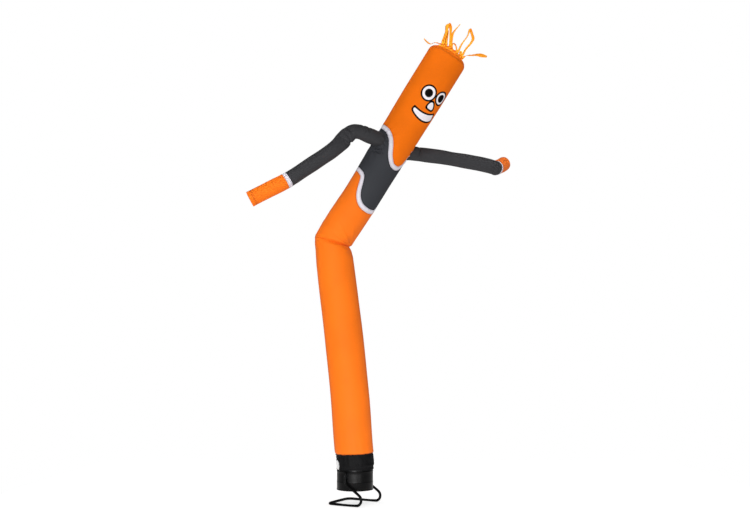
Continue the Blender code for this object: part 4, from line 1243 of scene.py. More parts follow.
@dataclass
class Hair:
    """Nylon ribbons gathered into a strip sewn over the head."""

    azimuth: float = math.radians(118.0)
    reach: float = 0.180
    strip: float = 0.026
    root_width: float = 0.028
    thickness: float = 0.0005
    root_stand: float = 0.016
    tuft_stand: float = 0.024
    straight: float = 0.11
    row_height: float = 0.006
    cloth_width: float = 0.024
    roll_height: float = 0.0125
    roll_width: float = 0.036
    lumps: tuple[Ripple, ...] = (Ripple(0.32, 0.022, 71), Ripple(0.18, 0.05, 72))
    facing: Vector = field(default_factory=lambda: Vector((0.90, -0.42, 0.0)))
    ribbons: tuple[Ribbon, ...] = (
        Ribbon(-0.140, None, ((-0.155, 0.094, 0.064, 0.017), (-0.200, 0.118, 0.062, 0.015),
                              (-0.246, 0.140, 0.036, 0.019), (-0.290, 0.154, 0.058, 0.020),
                              (-0.325, 0.164, 0.094, 0.012))),
        Ribbon(-0.112, -0.040, ((-0.080, 0.050, 0.150, 0.036), (-0.056, 0.054, 0.225, 0.042),
                                (-0.050, 0.058, 0.275, 0.050), (-0.045, 0.056, 0.304, 0.058),
                                (-0.028, 0.052, 0.316, 0.054), (-0.009, 0.048, 0.296, 0.044),
                                (-0.001, 0.040, 0.250, 0.036), (-0.004, 0.036, 0.200, 0.034),
                                (-0.002, 0.032, 0.150, 0.034))),
        Ribbon(-0.128, None, ((-0.104, 0.064, 0.104, 0.018), (-0.078, 0.064, 0.166, 0.018),
                              (-0.058, 0.060, 0.214, 0.012))),
        Ribbon(-0.082, None, ((-0.056, 0.020, 0.128, 0.038), (-0.040, 0.010, 0.203, 0.030),
                              (-0.030, -0.006, 0.264, 0.018))),
        Ribbon(-0.005, None, ((0.004, 0.000, 0.098, 0.036), (0.012, 0.002, 0.160, 0.030),
                              (0.026, 0.006, 0.226, 0.026), (0.068, 0.010, 0.284, 0.017),
                              (0.112, 0.014, 0.331, 0.013))),
        Ribbon(0.020, 0.072, ((0.014, -0.016, 0.066, 0.017), (0.036, -0.020, 0.112, 0.019),
                              (0.060, -0.028, 0.090, 0.018), (0.070, -0.030, 0.050, 0.018))),
        Ribbon(0.076, 0.140, ((0.122, -0.046, 0.094, 0.022), (0.210, -0.060, 0.232, 0.021),
                              (0.236, -0.064, 0.304, 0.034), (0.262, -0.066, 0.236, 0.034),
                              (0.272, -0.066, 0.186, 0.040), (0.242, -0.064, 0.124, 0.032),
                              (0.186, -0.064, 0.056, 0.025))),
        Ribbon(0.126, None, ((0.120, -0.058, 0.010, 0.034), (0.126, -0.066, 0.036, 0.026))),
        Ribbon(0.158, None, ((0.190, -0.084, -0.014, 0.016), (0.248, -0.090, -0.006, 0.021),
                             (0.309, -0.086, -0.002, 0.028), (0.370, -0.080, -0.013, 0.044),
                             (0.432, -0.074, -0.032, 0.024))),
    )
    tufts: tuple[tuple[float, float], ...] = (
        (-0.132, -0.098), (-0.104, -0.062), (-0.074, -0.036), (-0.046, -0.006),
        (-0.014, 0.022), (0.012, 0.050), (0.044, 0.078), (0.070, 0.106), (0.098, 0.132),
        (0.122, 0.156),
    )

    def on_crown(self, tube: TubeShape, run: Array, proud: Array | float) -> Array:
        """Points on the line over the head that the strip follows.

        Args:
            tube: the figure's tube.
            run: distances along the strip from the head's middle.
            proud: how far above the cloth.

        Returns:
            The points.
        """
        return tube.surface(tube.pole - np.abs(run),
                            np.where(run > 0.0, self.azimuth, self.azimuth + math.pi), proud)

    def strip_side(self, tube: TubeShape) -> Vector:
        """The direction across the strip, level with the head's top."""
        _, across, front, _, _ = tube.frame(np.array([tube.shoulder]))
        return (Vector(across[0]) * math.cos(self.azimuth)
                - Vector(front[0]) * math.sin(self.azimuth))

    def crown_frame(self, tube: TubeShape, run: float) -> tuple[Vector, Vector]:
        """The strip's direction along the head, and the direction away from it."""
        ends = self.on_crown(tube, np.array([run - 0.006, run + 0.006]), 0.0)
        along = Vector(ends[1] - ends[0]).normalized()
        away = self.strip_side(tube).cross(along)
        return along, away if away.z > 0.0 else -away

    def build_ribbon(self, number: int, ribbon: Ribbon, tube: TubeShape,
                     finishes: Finishes) -> None:
        """Make one thin curled ribbon and dress it.

        Args:
            number: its number.
            ribbon: its root and bends.
            tube: the figure's tube.
            finishes: the finishes.
        """
        top = Vector(tube.surface(np.array([tube.pole]), np.array([0.0]))[0])
        along, away = self.crown_frame(tube, ribbon.root)
        start = Vector(self.on_crown(tube, np.array([ribbon.root]), 0.001)[0])
        stand = self.root_stand
        if not ribbon.bends:
            stand = self.tuft_stand + 0.007 * math.sin(2.3 * number)
        points = [start, start + away * stand]
        widths = [self.root_width * 0.8, self.root_width]
        for out, ahead, up, wide in ribbon.bends:
            points.append(top + Vector((out, -ahead, up)))
            widths.append(wide)
        if ribbon.back is not None:
            end = Vector(self.on_crown(tube, np.array([ribbon.back]), 0.001)[0])
            points += [end + self.crown_frame(tube, ribbon.back)[1] * stand, end]
            widths += [self.root_width, self.root_width * 0.8]
        half = np.array(widths) / 2.0
        route = Route(np.array([tuple(point) for point in points]),
                      np.stack([half, half], axis=1), away, samples=300)
        turned = Vector((self.facing.x, self.facing.y, 0.10 * (number % 3))).normalized()
        looped = ribbon.back is not None

        def frame_at(at: Array) -> Pair:
            """Directions across the ribbon and out of its face."""
            heading = unit(route.take(route.heading, at))
            near = np.minimum(at, route.length - at) if looped else at
            share = np.clip(near / self.straight, 0.0, 1.0)[:, None]
            side = np.array(along) * (1.0 - share) + np.array(turned) * share
            side = unit(side - heading * np.einsum("ij,ij->i", side, heading)[:, None])
            return side, np.cross(heading, side)

        def place(around: Array, up: Array) -> Array:
            """Points on the ribbon, cupped across and rippled along its edges."""
            at = up * route.length
            side, face = frame_at(at)
            across = around * 2.0 - 1.0
            wide = route.take(route.sizes, at)[:, 0]
            twist = 0.22 * np.sin(at * 17.0 + number)
            cup = wide * (0.42 + 0.25 * np.sin(at * 23.0 + 2.0 * number)) * (across ** 2 - 0.4)
            wave = 0.0016 * np.sin(at * 150.0 + number + across * 1.4) * np.abs(across)
            free = np.clip(at / 0.02, 0.0, 1.0)
            return (route.centre(at) + side * (across * wide * np.cos(twist))[:, None]
                    + face * ((cup + wave) * free + across * wide * np.sin(twist))[:, None])

        def cloth(around: Array, up: Array) -> Pair:
            """Metres across and along."""
            return around * self.cloth_width, up * route.length

        def edge(around: Array, up: Array) -> Pair:
            """Metres along, and far from any seam."""
            return up * route.length, 0.5 + around * 0.0

        rows = max(24, int(route.length / self.row_height))
        made = mapped_sheet(f"ribbon_{number + 1}", 8, rows, place,
                            {"Cloth": cloth, "Edge": edge}, None, self.thickness)
        finishes.dress(made, "ribbon", "hair_ribbons")
        wide = float(route.sizes[:, 0].mean()) * 2.0

    def build_strip(self, tube: TubeShape, finishes: Finishes) -> None:
        """Make the gathered strip that the ribbons are sewn into."""
        side = np.array(self.strip_side(tube))

        def place(around: Array, up: Array) -> Array:
            """Points on a lumpy flattened roll over the head."""
            run = (up * 2.0 - 1.0) * self.reach
            turn = around * math.tau
            solid = np.stack([np.cos(turn) * 0.02, np.sin(turn) * 0.02, run], axis=1)
            lump = 1.0 + sum(wave.height(solid) for wave in self.lumps)
            end = np.clip((self.reach - np.abs(run)) / 0.010, 0.02, 1.0)
            out = np.maximum(np.sin(turn), -0.1) * self.roll_height * np.abs(lump) * end
            return (self.on_crown(tube, run, out + 0.0012)
                    + side[None] * (np.cos(turn) * self.strip / 2.0 * end)[:, None])

        def core(around: Array, up: Array) -> Array:
            """Points inside the roll."""
            return self.on_crown(tube, (up * 2.0 - 1.0) * self.reach, 0.0015)

        made = mapped_sheet("crown_strip", 20, 130, place, {
            "Cloth": lambda around, up: (around * 0.06, up * 0.36),
            "Edge": lambda around, up: (up * 0.36, 0.5 + around * 0.0),
        }, core, 0.0)
        finishes.dress(made, "ribbon", "hair_ribbons")

    def build(self, tube: TubeShape, finishes: Finishes) -> None:
        """Make and dress the strip and every ribbon."""
        self.build_strip(tube, finishes)
        tufts = tuple(Ribbon(root, back, ()) for root, back in self.tufts)
        for number, ribbon in enumerate((*self.ribbons, *tufts)):
            self.build_ribbon(number, ribbon, tube, finishes)


# --- the black cuff ---
@dataclass
class Cuff:
    """The black cuff that fits over the drum, with its strap line and bare patch."""

    sides: int = 144
    rows: int = 64
    low: float = 0.393
    high: float = 0.5675
    flat: tuple[float, float] = (1.351, 0.180)
    closest: float = 0.2126
    folds: Ripple = Ripple(0.0026, 0.066, 81, (1.0, 1.0, 1.5))
    gathers: Ripple = Ripple(0.0016, 0.034, 82, (1.0, 1.0, 0.25))
    fold_slant: float = 1.1
    seam_from: float = 0.545
    seam_lean: float = math.radians(-2.0)
    seam_shift: float = -0.008
    strap_height: float = 0.420
    patch_middle: float = math.radians(-84.0)
    patch_half: float = math.radians(27.0)
    patch_low: float = 0.392
    patch_high: float = 0.496
    patch_cloth: float = 0.0008
    patch_proud: float = 0.0022
    piping: float = 0.004
    piping_proud: float = 0.0013

    def __post_init__(self) -> None:
        """Prepare the cuff's profile, from the hem up."""
        strap = (DRUM_RADIUS + 0.0004) / math.cos(math.pi / 32.0) + 0.002
        self.track = Track([
            (self.low, 0.2150, 0.002), (0.407, 0.2152, 0.001), (self.strap_height, strap, 0.0),
            (0.434, 0.2142, 0.006), (0.445, 0.2150, 0.009), (0.470, 0.2140, 0.006),
            (0.505, 0.2155, 0.002), (self.seam_from, 0.2150, 0.0), (self.high, 0.2165, 0.0),
        ])

    def surface(self, height: Array, angle: Array, proud: float = 0.0) -> Array:
        """Points on the cuff at heights and angles from the front."""
        values = self.track.at(height)
        solid = straightened(angle, CUFF_RADIUS, height)
        above = np.clip((height - self.strap_height) / 0.02, 0.0, 1.0)
        slanted = solid + np.stack([height * 0.0, height * 0.0, solid[:, 0] * self.fold_slant],
                                   axis=1)
        strap = np.exp(-(((height - self.strap_height) / 0.008) ** 2))
        relief = (above * self.folds.height(slanted)
                  + self.gathers.height(solid) * (1.0 - 0.7 * strap))
        relief = relief * np.clip((height - 0.3935) / 0.006, 0.2, 1.0)
        out = values[:, 0] + values[:, 1] * np.maximum(np.sin(angle), 0.0)
        out = np.maximum(out + relief, self.closest) + proud
        share = np.clip((height - self.seam_from) / (self.high - self.seam_from), 0.0, 1.0)
        side = np.sin(angle) * out
        points = np.stack([
            side + share * self.seam_shift, -np.cos(angle) * out,
            height - share * math.tan(self.seam_lean) * side,
        ], axis=1)
        return points + np.array(AXIS)

    def on_axis(self, height: Array) -> Array:
        """Points on the drum's axis at heights."""
        return np.stack([height * 0.0 + AXIS.x, height * 0.0 + AXIS.y, height], axis=1)

    def build(self, finishes: Finishes) -> None:
        """Make the cuff, its patch and the patch's piping."""
        low, tall, girth = self.low, self.high - self.low, self.flat[0]

        def place(around: Array, up: Array) -> Array:
            """Points on the cuff."""
            return self.surface(low + tall * up, around * math.tau + math.pi)

        def edge(around: Array, up: Array) -> Pair:
            """Metres along the nearest seam, and from it."""
            height = low + tall * up
            near = np.minimum(height - low, self.high - height)
            return around * girth, np.minimum(near, np.abs(height - self.strap_height) + 0.002)

        made = mapped_sheet("base_cuff_cloth", self.sides, self.rows, place, {
            "Cloth": lambda around, up: (around * girth, tall * up), "Edge": edge,
        }, lambda around, up: self.on_axis(low + tall * up))
        finishes.dress(made, "cuff", "base_cuff")
        self.build_patch(finishes)

    def build_patch(self, finishes: Finishes) -> None:
        """The bare patch and the dark piping round it."""
        def corner(around: Array, up: Array, grow: float = 0.0) -> Pair:
            """Angle and height on the patch at shares of it; its front top corner is cut off."""
            half = self.patch_half + grow / CUFF_RADIUS
            angle = self.patch_middle + (around * 2.0 - 1.0) * half
            high = self.patch_high - 0.030 * np.clip((around - 0.80) / 0.20, 0.0, 1.0)
            low = self.patch_low - grow
            return angle, low + (high + grow - low) * up

        def place(around: Array, up: Array) -> Array:
            """Points on the patch."""
            angle, height = corner(around, up)
            return self.surface(height, angle, self.patch_proud)

        def backing(around: Array, up: Array) -> Array:
            """Points on the darker binding behind the patch."""
            angle, height = corner(around, up, self.piping)
            return self.surface(height, angle, self.piping_proud)

        width = 2.0 * self.patch_half * CUFF_RADIUS
        tall = self.patch_high - self.patch_low

        def edge(around: Array, up: Array) -> Pair:
            """Metres along, and from the patch's nearest edge."""
            near = np.minimum(np.minimum(around, 1.0 - around) * width,
                              np.minimum(up, 1.0 - up) * tall)
            return around * width, near

        for name, finish, rule in (("cuff_patch_cloth", "patch", place),
                                   ("cuff_patch_binding", "cuff", backing)):
            made = mapped_sheet(name, 48, 24, rule, {
                "Cloth": lambda around, up: (around * width, up * tall), "Edge": edge,
            }, lambda around, up: self.on_axis(self.patch_low + tall * up), self.patch_cloth)
            finishes.dress(made, finish, "cuff_patch")


# --- the blower ---
def turned(name: str, profile: list[tuple[float, float]], steps: int = 128,
           closed: bool = True) -> Piece:
    """A profile of radius and height turned about the drum's axis.

    Args:
        name: the piece's name.
        profile: points on it.
        steps: faces round.
        closed: whether the profile joins its own end.

    Returns:
        The piece.
    """
    bm = bmesh.new()
    ring = [bm.verts.new((radius, 0.0, height)) for radius, height in profile]
    pairs = list(zip(ring, ring[1:] + ring[:1])) if closed else list(zip(ring, ring[1:]))
    edges = [bm.edges.new(pair) for pair in pairs]
    bmesh.ops.spin(bm, geom=ring + edges, cent=(0, 0, 0), axis=(0, 0, 1), angle=math.tau,
                   steps=steps, use_merge=True)
    bmesh.ops.remove_doubles(bm, verts=bm.verts[:], dist=0.00001)
    bmesh.ops.recalc_face_normals(bm, faces=bm.faces[:])
    bmesh.ops.translate(bm, verts=bm.verts[:], vec=AXIS)
    return add_object(name, bm, sharp=42.0)


def level_heading(turn: float) -> Vector:
    """The level direction at an angle round from +X."""
    return Vector((math.cos(turn), math.sin(turn), 0.0))


def pose(place: Vector, heading: Vector) -> Matrix:
    """A block's place, with its length turned along a direction."""
    return Matrix.Translation(place) @ heading.to_track_quat("Z", "Y").to_matrix().to_4x4()


def set_down(bm: Mesh, made: list[bmesh.types.BMVert],
             edges: list[bmesh.types.BMEdge], edge: float, segments: int, matrix: Matrix) -> None:
    """Round some edges of a fresh block and move it to its place.

    Args:
        bm: the mesh that it is in.
        made: the block's corners.
        edges: the edges to round.
        edge: radius of the rounding.
        segments: faces across the rounding.
        matrix: where the block stands.
    """
    shaped = bmesh.ops.bevel(bm, geom=edges, offset=edge, segments=segments, profile=0.5,
                             affect="EDGES", material=-1)
    verts = list({vertex for face in shaped["faces"] for vertex in face.verts}
                 | {vertex for vertex in made if vertex.is_valid})
    bmesh.ops.transform(bm, matrix=matrix, verts=verts)


def block(bm: Mesh, size: Triple, matrix: Matrix, edge: float) -> None:
    """Add a box with rounded edges.

    Args:
        bm: the mesh that it goes into.
        size: its three sides.
        matrix: where it stands.
        edge: radius of its edges.
    """
    made = bmesh.ops.create_cube(bm, size=1.0)["verts"]
    bmesh.ops.scale(bm, vec=size, verts=made)
    edges = list({line for vertex in made for line in vertex.link_edges})
    set_down(bm, made, edges, edge, 3, matrix)


def disc_block(bm: Mesh, radius: float, depth: float, matrix: Matrix,
               sides: int = 32, edge: float = 0.0008, top: float | None = None) -> None:
    """Add a round or hexagonal block with rounded rims.

    Args:
        bm: the mesh that it goes into.
        radius: its radius.
        depth: its length.
        matrix: where it stands.
        sides: how many sides it has.
        edge: radius of its rims.
        top: its radius at the far end, where that differs.
    """
    made = bmesh.ops.create_cone(bm, cap_ends=True, segments=sides, radius1=radius,
                                 radius2=top if top is not None else radius, depth=depth)["verts"]
    rims = [line for line in {line for vertex in made for line in vertex.link_edges}
            if any(len(face.verts) == sides for face in line.link_faces)]
    set_down(bm, made, rims, edge, 2, matrix)


@dataclass
class Blower:
    """The drum, its intake guard and the motor that hangs on the guard's hub."""

    radius: float = DRUM_RADIUS
    bottom: float = 0.160
    top: float = 0.480
    wall: float = 0.0015
    beads: tuple[Triple, ...] = ((0.372, 0.003, 0.009), (0.250, 0.0016, 0.006))
    flats: tuple[tuple[float, ...], ...] = ((0.392,), (0.340, 0.262))
    skirt: float = 0.176
    lip: float = 0.0195
    rivets: tuple[float, ...] = (0.190, 0.222, 0.286, 0.318)
    rivet_turn: float = math.radians(104.0)
    rings: int = 7
    first_ring: float = 0.058
    spokes: int = 6
    spoke_start: float = 0.045
    wire: float = 0.0022
    hub: float = 0.062
    motor_radius: float = 0.078
    fins: int = 8

    def build_drum(self, finishes: Finishes) -> None:
        """Make the steel drum with its pressed beads, rolled rim and intake lip."""
        profile = [(self.radius - self.wall, self.top), (self.radius - 0.0003, self.top),
                   (self.radius, self.top - 0.001)]
        for flat, bead in zip(self.flats, self.beads):
            profile += [(self.radius, height) for height in flat] + self.swage(*bead)
        profile.append((self.radius, self.skirt))
        for step in range(13):
            turn = math.pi / 2.0 - math.pi * step / 12.0
            profile.append((self.radius - 0.0020 + 0.0045 * math.cos(turn),
                            self.bottom + 0.0050 + 0.0050 * math.sin(turn)))
        lip = self.radius - self.lip
        profile += [(lip + 0.001, self.bottom), (lip, self.bottom + 0.0008),
                    (lip + 0.001, self.bottom + self.wall),
                    (self.radius - self.wall, self.bottom + self.wall)]
        drum = turned("blower_drum_shell", profile)
        finishes.dress(drum, "drum", "blower_drum")
        self.build_rivets(finishes)

    def swage(self, height: float, proud: float, half: float) -> list[tuple[float, float]]:
        """Profile points of a pressed bead, from its top down."""
        points = []
        for step in range(9):
            share = step / 8.0 * 2.0 - 1.0
            points.append((self.radius + proud * (0.5 + 0.5 * math.cos(math.pi * share)),
                           height - half * share))
        return points

    def build_rivets(self, finishes: Finishes) -> None:
        """Make the row of rivets down the back of the drum."""
        bm = bmesh.new()
        heading = level_heading(self.rivet_turn)
        for height in self.rivets:
            place = AXIS + heading * (self.radius + 0.0008) + Vector((0.0, 0.0, height))
            disc_block(bm, 0.0042, 0.0026, pose(place, heading), 20, 0.0008, 0.0026)
        finishes.dress(add_object("drum_rivets", bm, sharp=40.0), "drum")

    def build_guard(self, finishes: Finishes) -> None:
        """Make the intake guard: welded wire rings on spokes, with a flat hub."""
        low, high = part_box("intake_guard")
        level_z = (low.z + high.z) / 2.0
        edge = self.radius - self.wall - 0.0036
        bm = bmesh.new()
        for number in range(self.rings + 1):
            reach = self.first_ring + (edge - self.first_ring) * number / self.rings
            seed = bmesh.ops.create_circle(bm, segments=10, radius=self.wire)["verts"]
            bmesh.ops.rotate(bm, verts=seed, cent=(0, 0, 0),
                             matrix=Matrix.Rotation(math.pi / 2.0, 3, "X"))
            bmesh.ops.translate(bm, verts=seed, vec=(reach, 0.0, 0.0))
            rim = list({line for vertex in seed for line in vertex.link_edges})
            bmesh.ops.spin(bm, geom=seed + rim, cent=(0, 0, 0), axis=(0, 0, 1), angle=math.tau,
                           steps=96, use_merge=True)
        for number in range(self.spokes):
            heading = level_heading(math.tau * number / self.spokes)
            span = edge - self.spoke_start
            place = heading * (self.spoke_start + span / 2.0)
            disc_block(bm, self.wire, span, pose(place, heading), 12, 0.0004)
        disc_block(bm, self.hub, high.z - low.z, Matrix.Identity(4), 64, 0.0010)
        bmesh.ops.remove_doubles(bm, verts=bm.verts[:], dist=0.000005)
        bmesh.ops.recalc_face_normals(bm, faces=bm.faces[:])
        bmesh.ops.translate(bm, verts=bm.verts[:], vec=AXIS + Vector((0.0, 0.0, level_z)))
        finishes.dress(add_object("intake_guard_wires", bm, sharp=50.0), "guard", "intake_guard")

    def build_motor(self, finishes: Finishes) -> None:
        """Make the motor's finned case and end bell."""
        low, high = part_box("blower_motor")
        radius, base = self.motor_radius, low.z
        profile = [(0.0005, base), (radius - 0.010, base), (radius - 0.003, base + 0.003),
                   (radius, base + 0.010)]
        span = high.z - base - 0.062
        for number in range(self.fins):
            foot = base + 0.022 + span * number / self.fins
            for out, up in ((-0.005, 0.000), (-0.005, 0.004), (0.000, 0.0055), (0.000, 0.0085)):
                profile.append((radius + out, foot + up))
        profile += [(radius, high.z - 0.034), (radius - 0.004, high.z - 0.022),
                    (radius - 0.020, high.z - 0.010), (0.020, high.z - 0.007),
                    (0.014, high.z), (0.0005, high.z)]
        made = turned("motor_case", profile, 72, closed=False)
        finishes.dress(made, "motor", "blower_motor")

    def build(self, finishes: Finishes) -> None:
        """Make and dress the blower's pieces."""
        self.build_drum(finishes)
        self.build_guard(finishes)
        self.build_motor(finishes)


@dataclass
class Stand:
    """The bent bar on the floor and the two pivots that hold the drum."""

    radius: float = 0.0152
    flat: float = 0.0016
    turn: float = math.radians(62.0)
    span: float = 0.462
    far: float = 0.350
    near: float = 0.225
    corner: float = 0.064
    pivot_height: float = 0.330
    top: float = 0.372
    straight: float = 0.125
    clearance: float = 0.0009
    plate: Triple = (0.036, 0.056, 0.003)
    stud: float = 0.005
    washer: tuple[float, float] = (0.0100, 0.0014)
    hex_head: tuple[float, float] = (0.0090, 0.0052)

    def directions(self) -> tuple[Vector, Vector]:
        """The cross bar's direction and the runners' direction."""
        cross = level_heading(self.turn)
        return cross, Vector((cross.y, -cross.x, 0.0))

    def corners(self) -> list[Vector]:
        """The bar's corner points, from one pivot round to the other."""
        cross, runner = self.directions()
        floor = Vector((0.0, 0.0, self.radius - self.flat))
        out = DRUM_RADIUS + self.plate[2] + self.clearance + self.radius
        made: list[Vector] = []
        for side in (-1.0, 1.0):
            top = cross * side * out + Vector((0.0, 0.0, self.top))
            arm = [top, top - Vector((0.0, 0.0, self.straight)),
                   floor + cross * side * self.span / 2.0 + runner * self.far,
                   floor + cross * side * self.span / 2.0 - runner * self.near]
            made += arm if side < 0.0 else arm[::-1]
        return made

    def bent(self, steps: int = 14) -> Array:
        """The bar's route with an arc at each corner.

        Args:
            steps: points on each arc.

        Returns:
            The points.
        """
        corners = self.corners()
        route = [corners[0]]
        for before, corner, after in zip(corners, corners[1:], corners[2:]):
            back, ahead = (before - corner).normalized(), (after - corner).normalized()
            half = back.angle(ahead) / 2.0
            reach = min(self.corner / math.tan(half), (before - corner).length * 0.48,
                        (after - corner).length * 0.48)
            bend = reach * math.tan(half)
            middle = corner + (back + ahead).normalized() * (bend / math.sin(half))
            start, end = corner + back * reach - middle, corner + ahead * reach - middle
            whole = start.angle(end)
            for step in range(steps + 1):
                share = step / steps
                turned_by = (start * math.sin((1.0 - share) * whole)
                             + end * math.sin(share * whole)) / math.sin(whole)
                route.append(middle + turned_by)
        route.append(corners[-1])
        return np.array([tuple(point + AXIS) for point in route])

    def build(self, finishes: Finishes) -> None:
        """Make and dress the bar and its pivots."""
        places = self.bent()
        sizes = np.full((len(places), 2), self.radius)
        route = Route(places, sizes, Vector((1.0, 0.0, 0.0)), samples=1400)

        ends = Track([(0.0, 0.0), (0.0016, 0.80), (0.0040, 1.0), (0.5, 1.0), (0.9960, 1.0),
                      (0.9984, 0.80), (1.0, 0.0)])

        def place(around: Array, up: Array) -> Array:
            """Points on the bar, with its underside pressed flat on the floor."""
            share = np.interp(up, [0.0, 0.01, 0.99, 1.0], [0.0, 0.006, 0.994, 1.0])
            pull = self.radius * (ends.at(share)[:, 0] - 1.0)
            points = route.surface(share * route.length, around * math.tau, pull)
            points[:, 2] = np.maximum(points[:, 2], 0.0)
            return points

        made = mapped_sheet("stand_bar_tube", 24, 420, place,
                            {"Cloth": lambda around, up: (around, up)},
                            lambda around, up: route.centre(up * route.length), 0.0)
        finishes.dress(made, "bar", "stand_bar")
        for side, name in ((-1.0, "front"), (1.0, "back")):
            self.build_pivot(name + "_pivot", side, finishes)

    def build_pivot(self, name: str, side: float, finishes: Finishes) -> None:
        """Make a plate on the drum, and a bolt through the bar with its washer and hex head."""
        heading = self.directions()[0] * side
        height = Vector((0.0, 0.0, self.pivot_height))

        def spot(out: float) -> Matrix:
            """A place straight out from the drum at the pivot's height."""
            return pose(AXIS + heading * (DRUM_RADIUS + out) + height, heading)

        bm = bmesh.new()
        block(bm, self.plate, spot(0.0003 + self.plate[2] / 2.0), 0.0009)
        stud = self.plate[2] + 2.0 * self.radius + 0.003
        disc_block(bm, self.stud, stud, spot(stud / 2.0), 24, 0.0004)
        outer = self.plate[2] + 2.0 * self.radius + 0.0012
        disc_block(bm, *self.washer, spot(outer + self.washer[1] / 2.0), 36, 0.0003)
        disc_block(bm, *self.hex_head, spot(outer + self.washer[1] + self.hex_head[1] / 2.0), 6,
                   0.0007)
        finishes.dress(add_object(name + "_bolt", bm, sharp=38.0), "pivot", name)


# --- studio ---
@dataclass(frozen=True)
class SoftLight:
    """A large soft lamp: place, aim, size, watts and the spread of its light in degrees."""

    name: str
    place: Triple
    aim: Triple
    size: tuple[float, float]
    power: float
    spread: float = 180.0
    mirrored_only: bool = False

    def build(self) -> None:
        """Hang the lamp."""
        lamp = bpy.data.lights.new(self.name, "AREA")
        lamp.shape = "RECTANGLE"
        lamp.size, lamp.size_y = self.size
        lamp.energy = self.power
        lamp.spread = math.radians(self.spread)
        made = bpy.data.objects.new(self.name, lamp)
        made.location = AXIS + Vector(self.place)
        aim = AXIS + Vector(self.aim) - made.location
        made.rotation_euler = aim.to_track_quat("-Z", "Y").to_euler()
        made.visible_camera = False
        made.visible_diffuse = not self.mirrored_only
        bpy.context.scene.collection.objects.link(made)


@dataclass
class Studio:
    """Pale floor, pale surround, soft lamps and the camera."""

    camera_place: Triple = (0.232, -10.0, 1.484)
    pitch: float = math.radians(7.67)
    lens: float = 841.0 / 750.0 * 36.0
    surround: float = 0.47
    mirrored: float = 0.06
    floor_size: float = 9.6
    lamps: tuple[SoftLight, ...] = (
        SoftLight("front_softbox", (-0.6, -11.4, 1.3), (0.0, 0.0, 0.2), (4.0, 2.4), 166.0, 76.0),
        SoftLight("left_softbox", (-4.6, -8.0, 6.0), (-1.6, -0.65, 3.7), (2.6, 2.6), 14.0, 27.0),
        SoftLight("right_softbox", (5.4, -3.6, 8.0), (2.05, 0.60, 4.25), (2.4, 2.4), 7.0, 18.0),
        SoftLight("crown_softbox", (0.4, -5.5, 8.8), (1.00, 0.0, 5.3), (1.4, 1.4), 5.0, 20.0),
        SoftLight("strip_light", (0.1, -2.6, 0.14), (0.05, 0.0, 0.20), (4.0, 0.26), 40.0,
                  mirrored_only=True),
    )

    def build(self) -> None:
        """Make the floor, the light and the camera."""
        bm = bmesh.new()
        bmesh.ops.create_grid(bm, x_segments=8, y_segments=8, size=self.floor_size / 2.0)
        bmesh.ops.translate(bm, verts=bm.verts[:], vec=(0.0, 0.0, -0.0005))
        floor = add_object("studio_floor", bm, smooth=False)
        floor.data.materials.append(FloorFinish().build())
        world = bpy.data.worlds.new("studio_surround")
        world.use_nodes = True
        tree = world.node_tree
        back = tree.nodes["Background"]
        back.inputs["Color"].default_value = (1.0, 1.0, 1.0, 1.0)
        path = tree.nodes.new("ShaderNodeLightPath")
        strength = None
        for low, high, ray in ((self.surround, self.mirrored, "Is Glossy Ray"),
                               (0.0, 1.0, "Is Camera Ray")):
            step = tree.nodes.new("ShaderNodeMapRange")
            step.inputs["To Min"].default_value = low
            step.inputs["To Max"].default_value = high
            tree.links.new(path.outputs[ray], step.inputs["Value"])
            if strength is not None:
                tree.links.new(strength, step.inputs["To Min"])
            strength = step.outputs["Result"]
        tree.links.new(strength, back.inputs["Strength"])
        bpy.context.scene.world = world
        bpy.context.scene.view_settings.view_transform = "Standard"
        for lamp in self.lamps:
            lamp.build()
        data = bpy.data.cameras.new("studio_camera")
        data.lens = self.lens
        camera = bpy.data.objects.new("studio_camera", data)
        camera.location = AXIS + Vector(self.camera_place)
        camera.rotation_euler = (math.pi / 2.0 + self.pitch, 0.0, 0.0)
        bpy.context.scene.collection.objects.link(camera)
        bpy.context.scene.camera = camera
        log.info("camera at %s", tuple(round(value, 3) for value in camera.location))


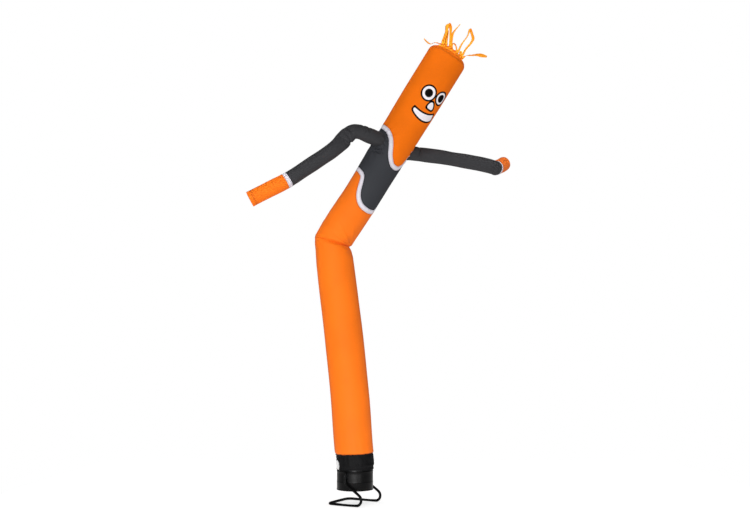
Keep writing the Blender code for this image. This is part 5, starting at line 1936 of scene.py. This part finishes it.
# --- assembly ---
def build_figure(finishes: Finishes) -> None:
    """Make the sewn figure: the arms' joins first, because they pull the chest's cloth.

    Args:
        finishes: the finishes.
    """
    tube = TubeShape()
    left = Arm(Side.LEFT, [
        (0.385, -0.335, 4.160, 0.078, 0.086), (0.268, -0.450, 4.197, 0.080, 0.096),
        (0.167, -0.505, 4.226, 0.088, 0.098), (0.047, -0.545, 4.259, 0.0834, 0.085),
        (-0.016, -0.562, 4.256, 0.0860, 0.082), (-0.083, -0.576, 4.208, 0.0960, 0.068),
        (-0.134, -0.587, 4.146, 0.0990, 0.062), (-0.190, -0.597, 4.084, 0.0905, 0.076),
        (-0.245, -0.605, 4.033, 0.0875, 0.085), (-0.401, -0.620, 3.918, 0.0877, 0.087),
        (-0.573, -0.635, 3.796, 0.0868, 0.087), (-0.744, -0.650, 3.676, 0.0866, 0.087),
        (-0.783, -0.654, 3.652, 0.0885, 0.0885), (-0.960, -0.671, 3.555, 0.0910, 0.0900),
        (-1.100, -0.684, 3.478, 0.0905, 0.0890), (-1.180, -0.691, 3.434, 0.0900, 0.0890),
    ], 12, (
        Crease(0.325, -60.0, 70.0, 0.014, 0.009, 0.010),
        Crease(0.352, -95.0, 60.0, 0.010, 0.008, -0.014),
        Crease(0.385, -40.0, 50.0, 0.008, 0.010, 0.012),
        Crease(0.530, -60.0, 75.0, 0.017, 0.012, 0.010),
        Crease(0.585, -95.0, 60.0, 0.012, 0.013, -0.020),
        Crease(0.560, -75.0, 50.0, -0.008, 0.012, 0.000),
        Crease(0.610, 170.0, 90.0, 0.018, 0.018, 0.0),
        Crease(0.660, -150.0, 60.0, 0.010, 0.012, 0.020),
        Crease(0.640, -110.0, 70.0, 0.008, 0.011, 0.016),
    ))
    right = Arm(Side.RIGHT, [
        (0.460, -0.205, 4.108, 0.080, 0.080), (0.575, -0.127, 4.120, 0.083, 0.083),
        (0.681, -0.098, 4.126, 0.087, 0.083), (0.775, -0.074, 4.119, 0.0850, 0.076),
        (0.850, -0.058, 4.113, 0.0870, 0.086), (1.028, -0.020, 4.099, 0.0856, 0.087),
        (1.282, 0.036, 4.070, 0.0870, 0.087), (1.550, 0.086, 4.034, 0.0890, 0.087),
        (1.640, 0.112, 4.019, 0.0900, 0.084), (1.702, 0.158, 4.012, 0.0895, 0.082),
        (1.730, 0.214, 4.019, 0.0885, 0.086), (1.746, 0.254, 4.031, 0.0885, 0.0885),
        (1.790, 0.378, 4.077, 0.0900, 0.0900), (1.848, 0.520, 4.128, 0.0905, 0.0900),
        (1.899, 0.660, 4.184, 0.0900, 0.0890),
    ], 11, (
        Crease(0.330, 70.0, 90.0, 0.018, 0.011, 0.006),
        Crease(0.372, 100.0, 60.0, -0.004, 0.012, 0.010),
        Crease(1.270, 110.0, 85.0, 0.008, 0.014, 0.006),
        Crease(1.325, 80.0, 70.0, 0.009, 0.014, -0.010),
    ), ("right_forearm",))
    arms = (left, right)
    for arm in arms:
        arm.join(tube)

    def armholes(centres: Array) -> Array:
        """The chest's faces inside either sleeve."""
        return np.logical_or(*(arm.armhole(centres) for arm in arms))

    panels = (
        TubePanel("lower_tube", "tube", level(CUFF_SEAM), LOWER_WAVE.edge(-1.0), 144, 300,
                  tuck_low=0.0, dense=(0.755, 0.10, 1.6)),
        TubePanel("lower_trim", "trim", LOWER_WAVE.edge(-1.0), LOWER_WAVE.edge(1.0), 300, 10,
                  0.0, 0.0, TRIM_PROUD, TRIM_CLOTH, strip=LOWER_WAVE),
        TubePanel("chest_panel", "chest", LOWER_WAVE.edge(1.0), UPPER_WAVE.edge(-1.0), 220, 100),
        TubePanel("upper_trim", "trim", UPPER_WAVE.edge(-1.0), UPPER_WAVE.edge(1.0), 300, 10,
                  0.0, 0.0, TRIM_PROUD, TRIM_CLOTH, strip=UPPER_WAVE),
        TubePanel("head_panel", "face", UPPER_WAVE.edge(1.0), level(tube.pole), 180, 190,
                  tuck_high=0.0, seams=(tube.shoulder + CROWN_SEAM,)),
    )
    for panel in panels:
        panel.build(tube, finishes, armholes if panel.name == "chest_panel" else None)
    for arm in arms:
        arm.build(finishes)
    Hair().build(tube, finishes)


def main() -> None:
    """Build the cuff, the figure, the blower, the stand and the studio, in that order."""
    logging.basicConfig(level=logging.INFO, format="%(name)s: %(message)s")
    finishes = Finishes()
    Cuff().build(finishes)
    build_figure(finishes)
    Blower().build(finishes)
    Stand().build(finishes)
    Studio().build()


if __name__ == "__main__":
    main()
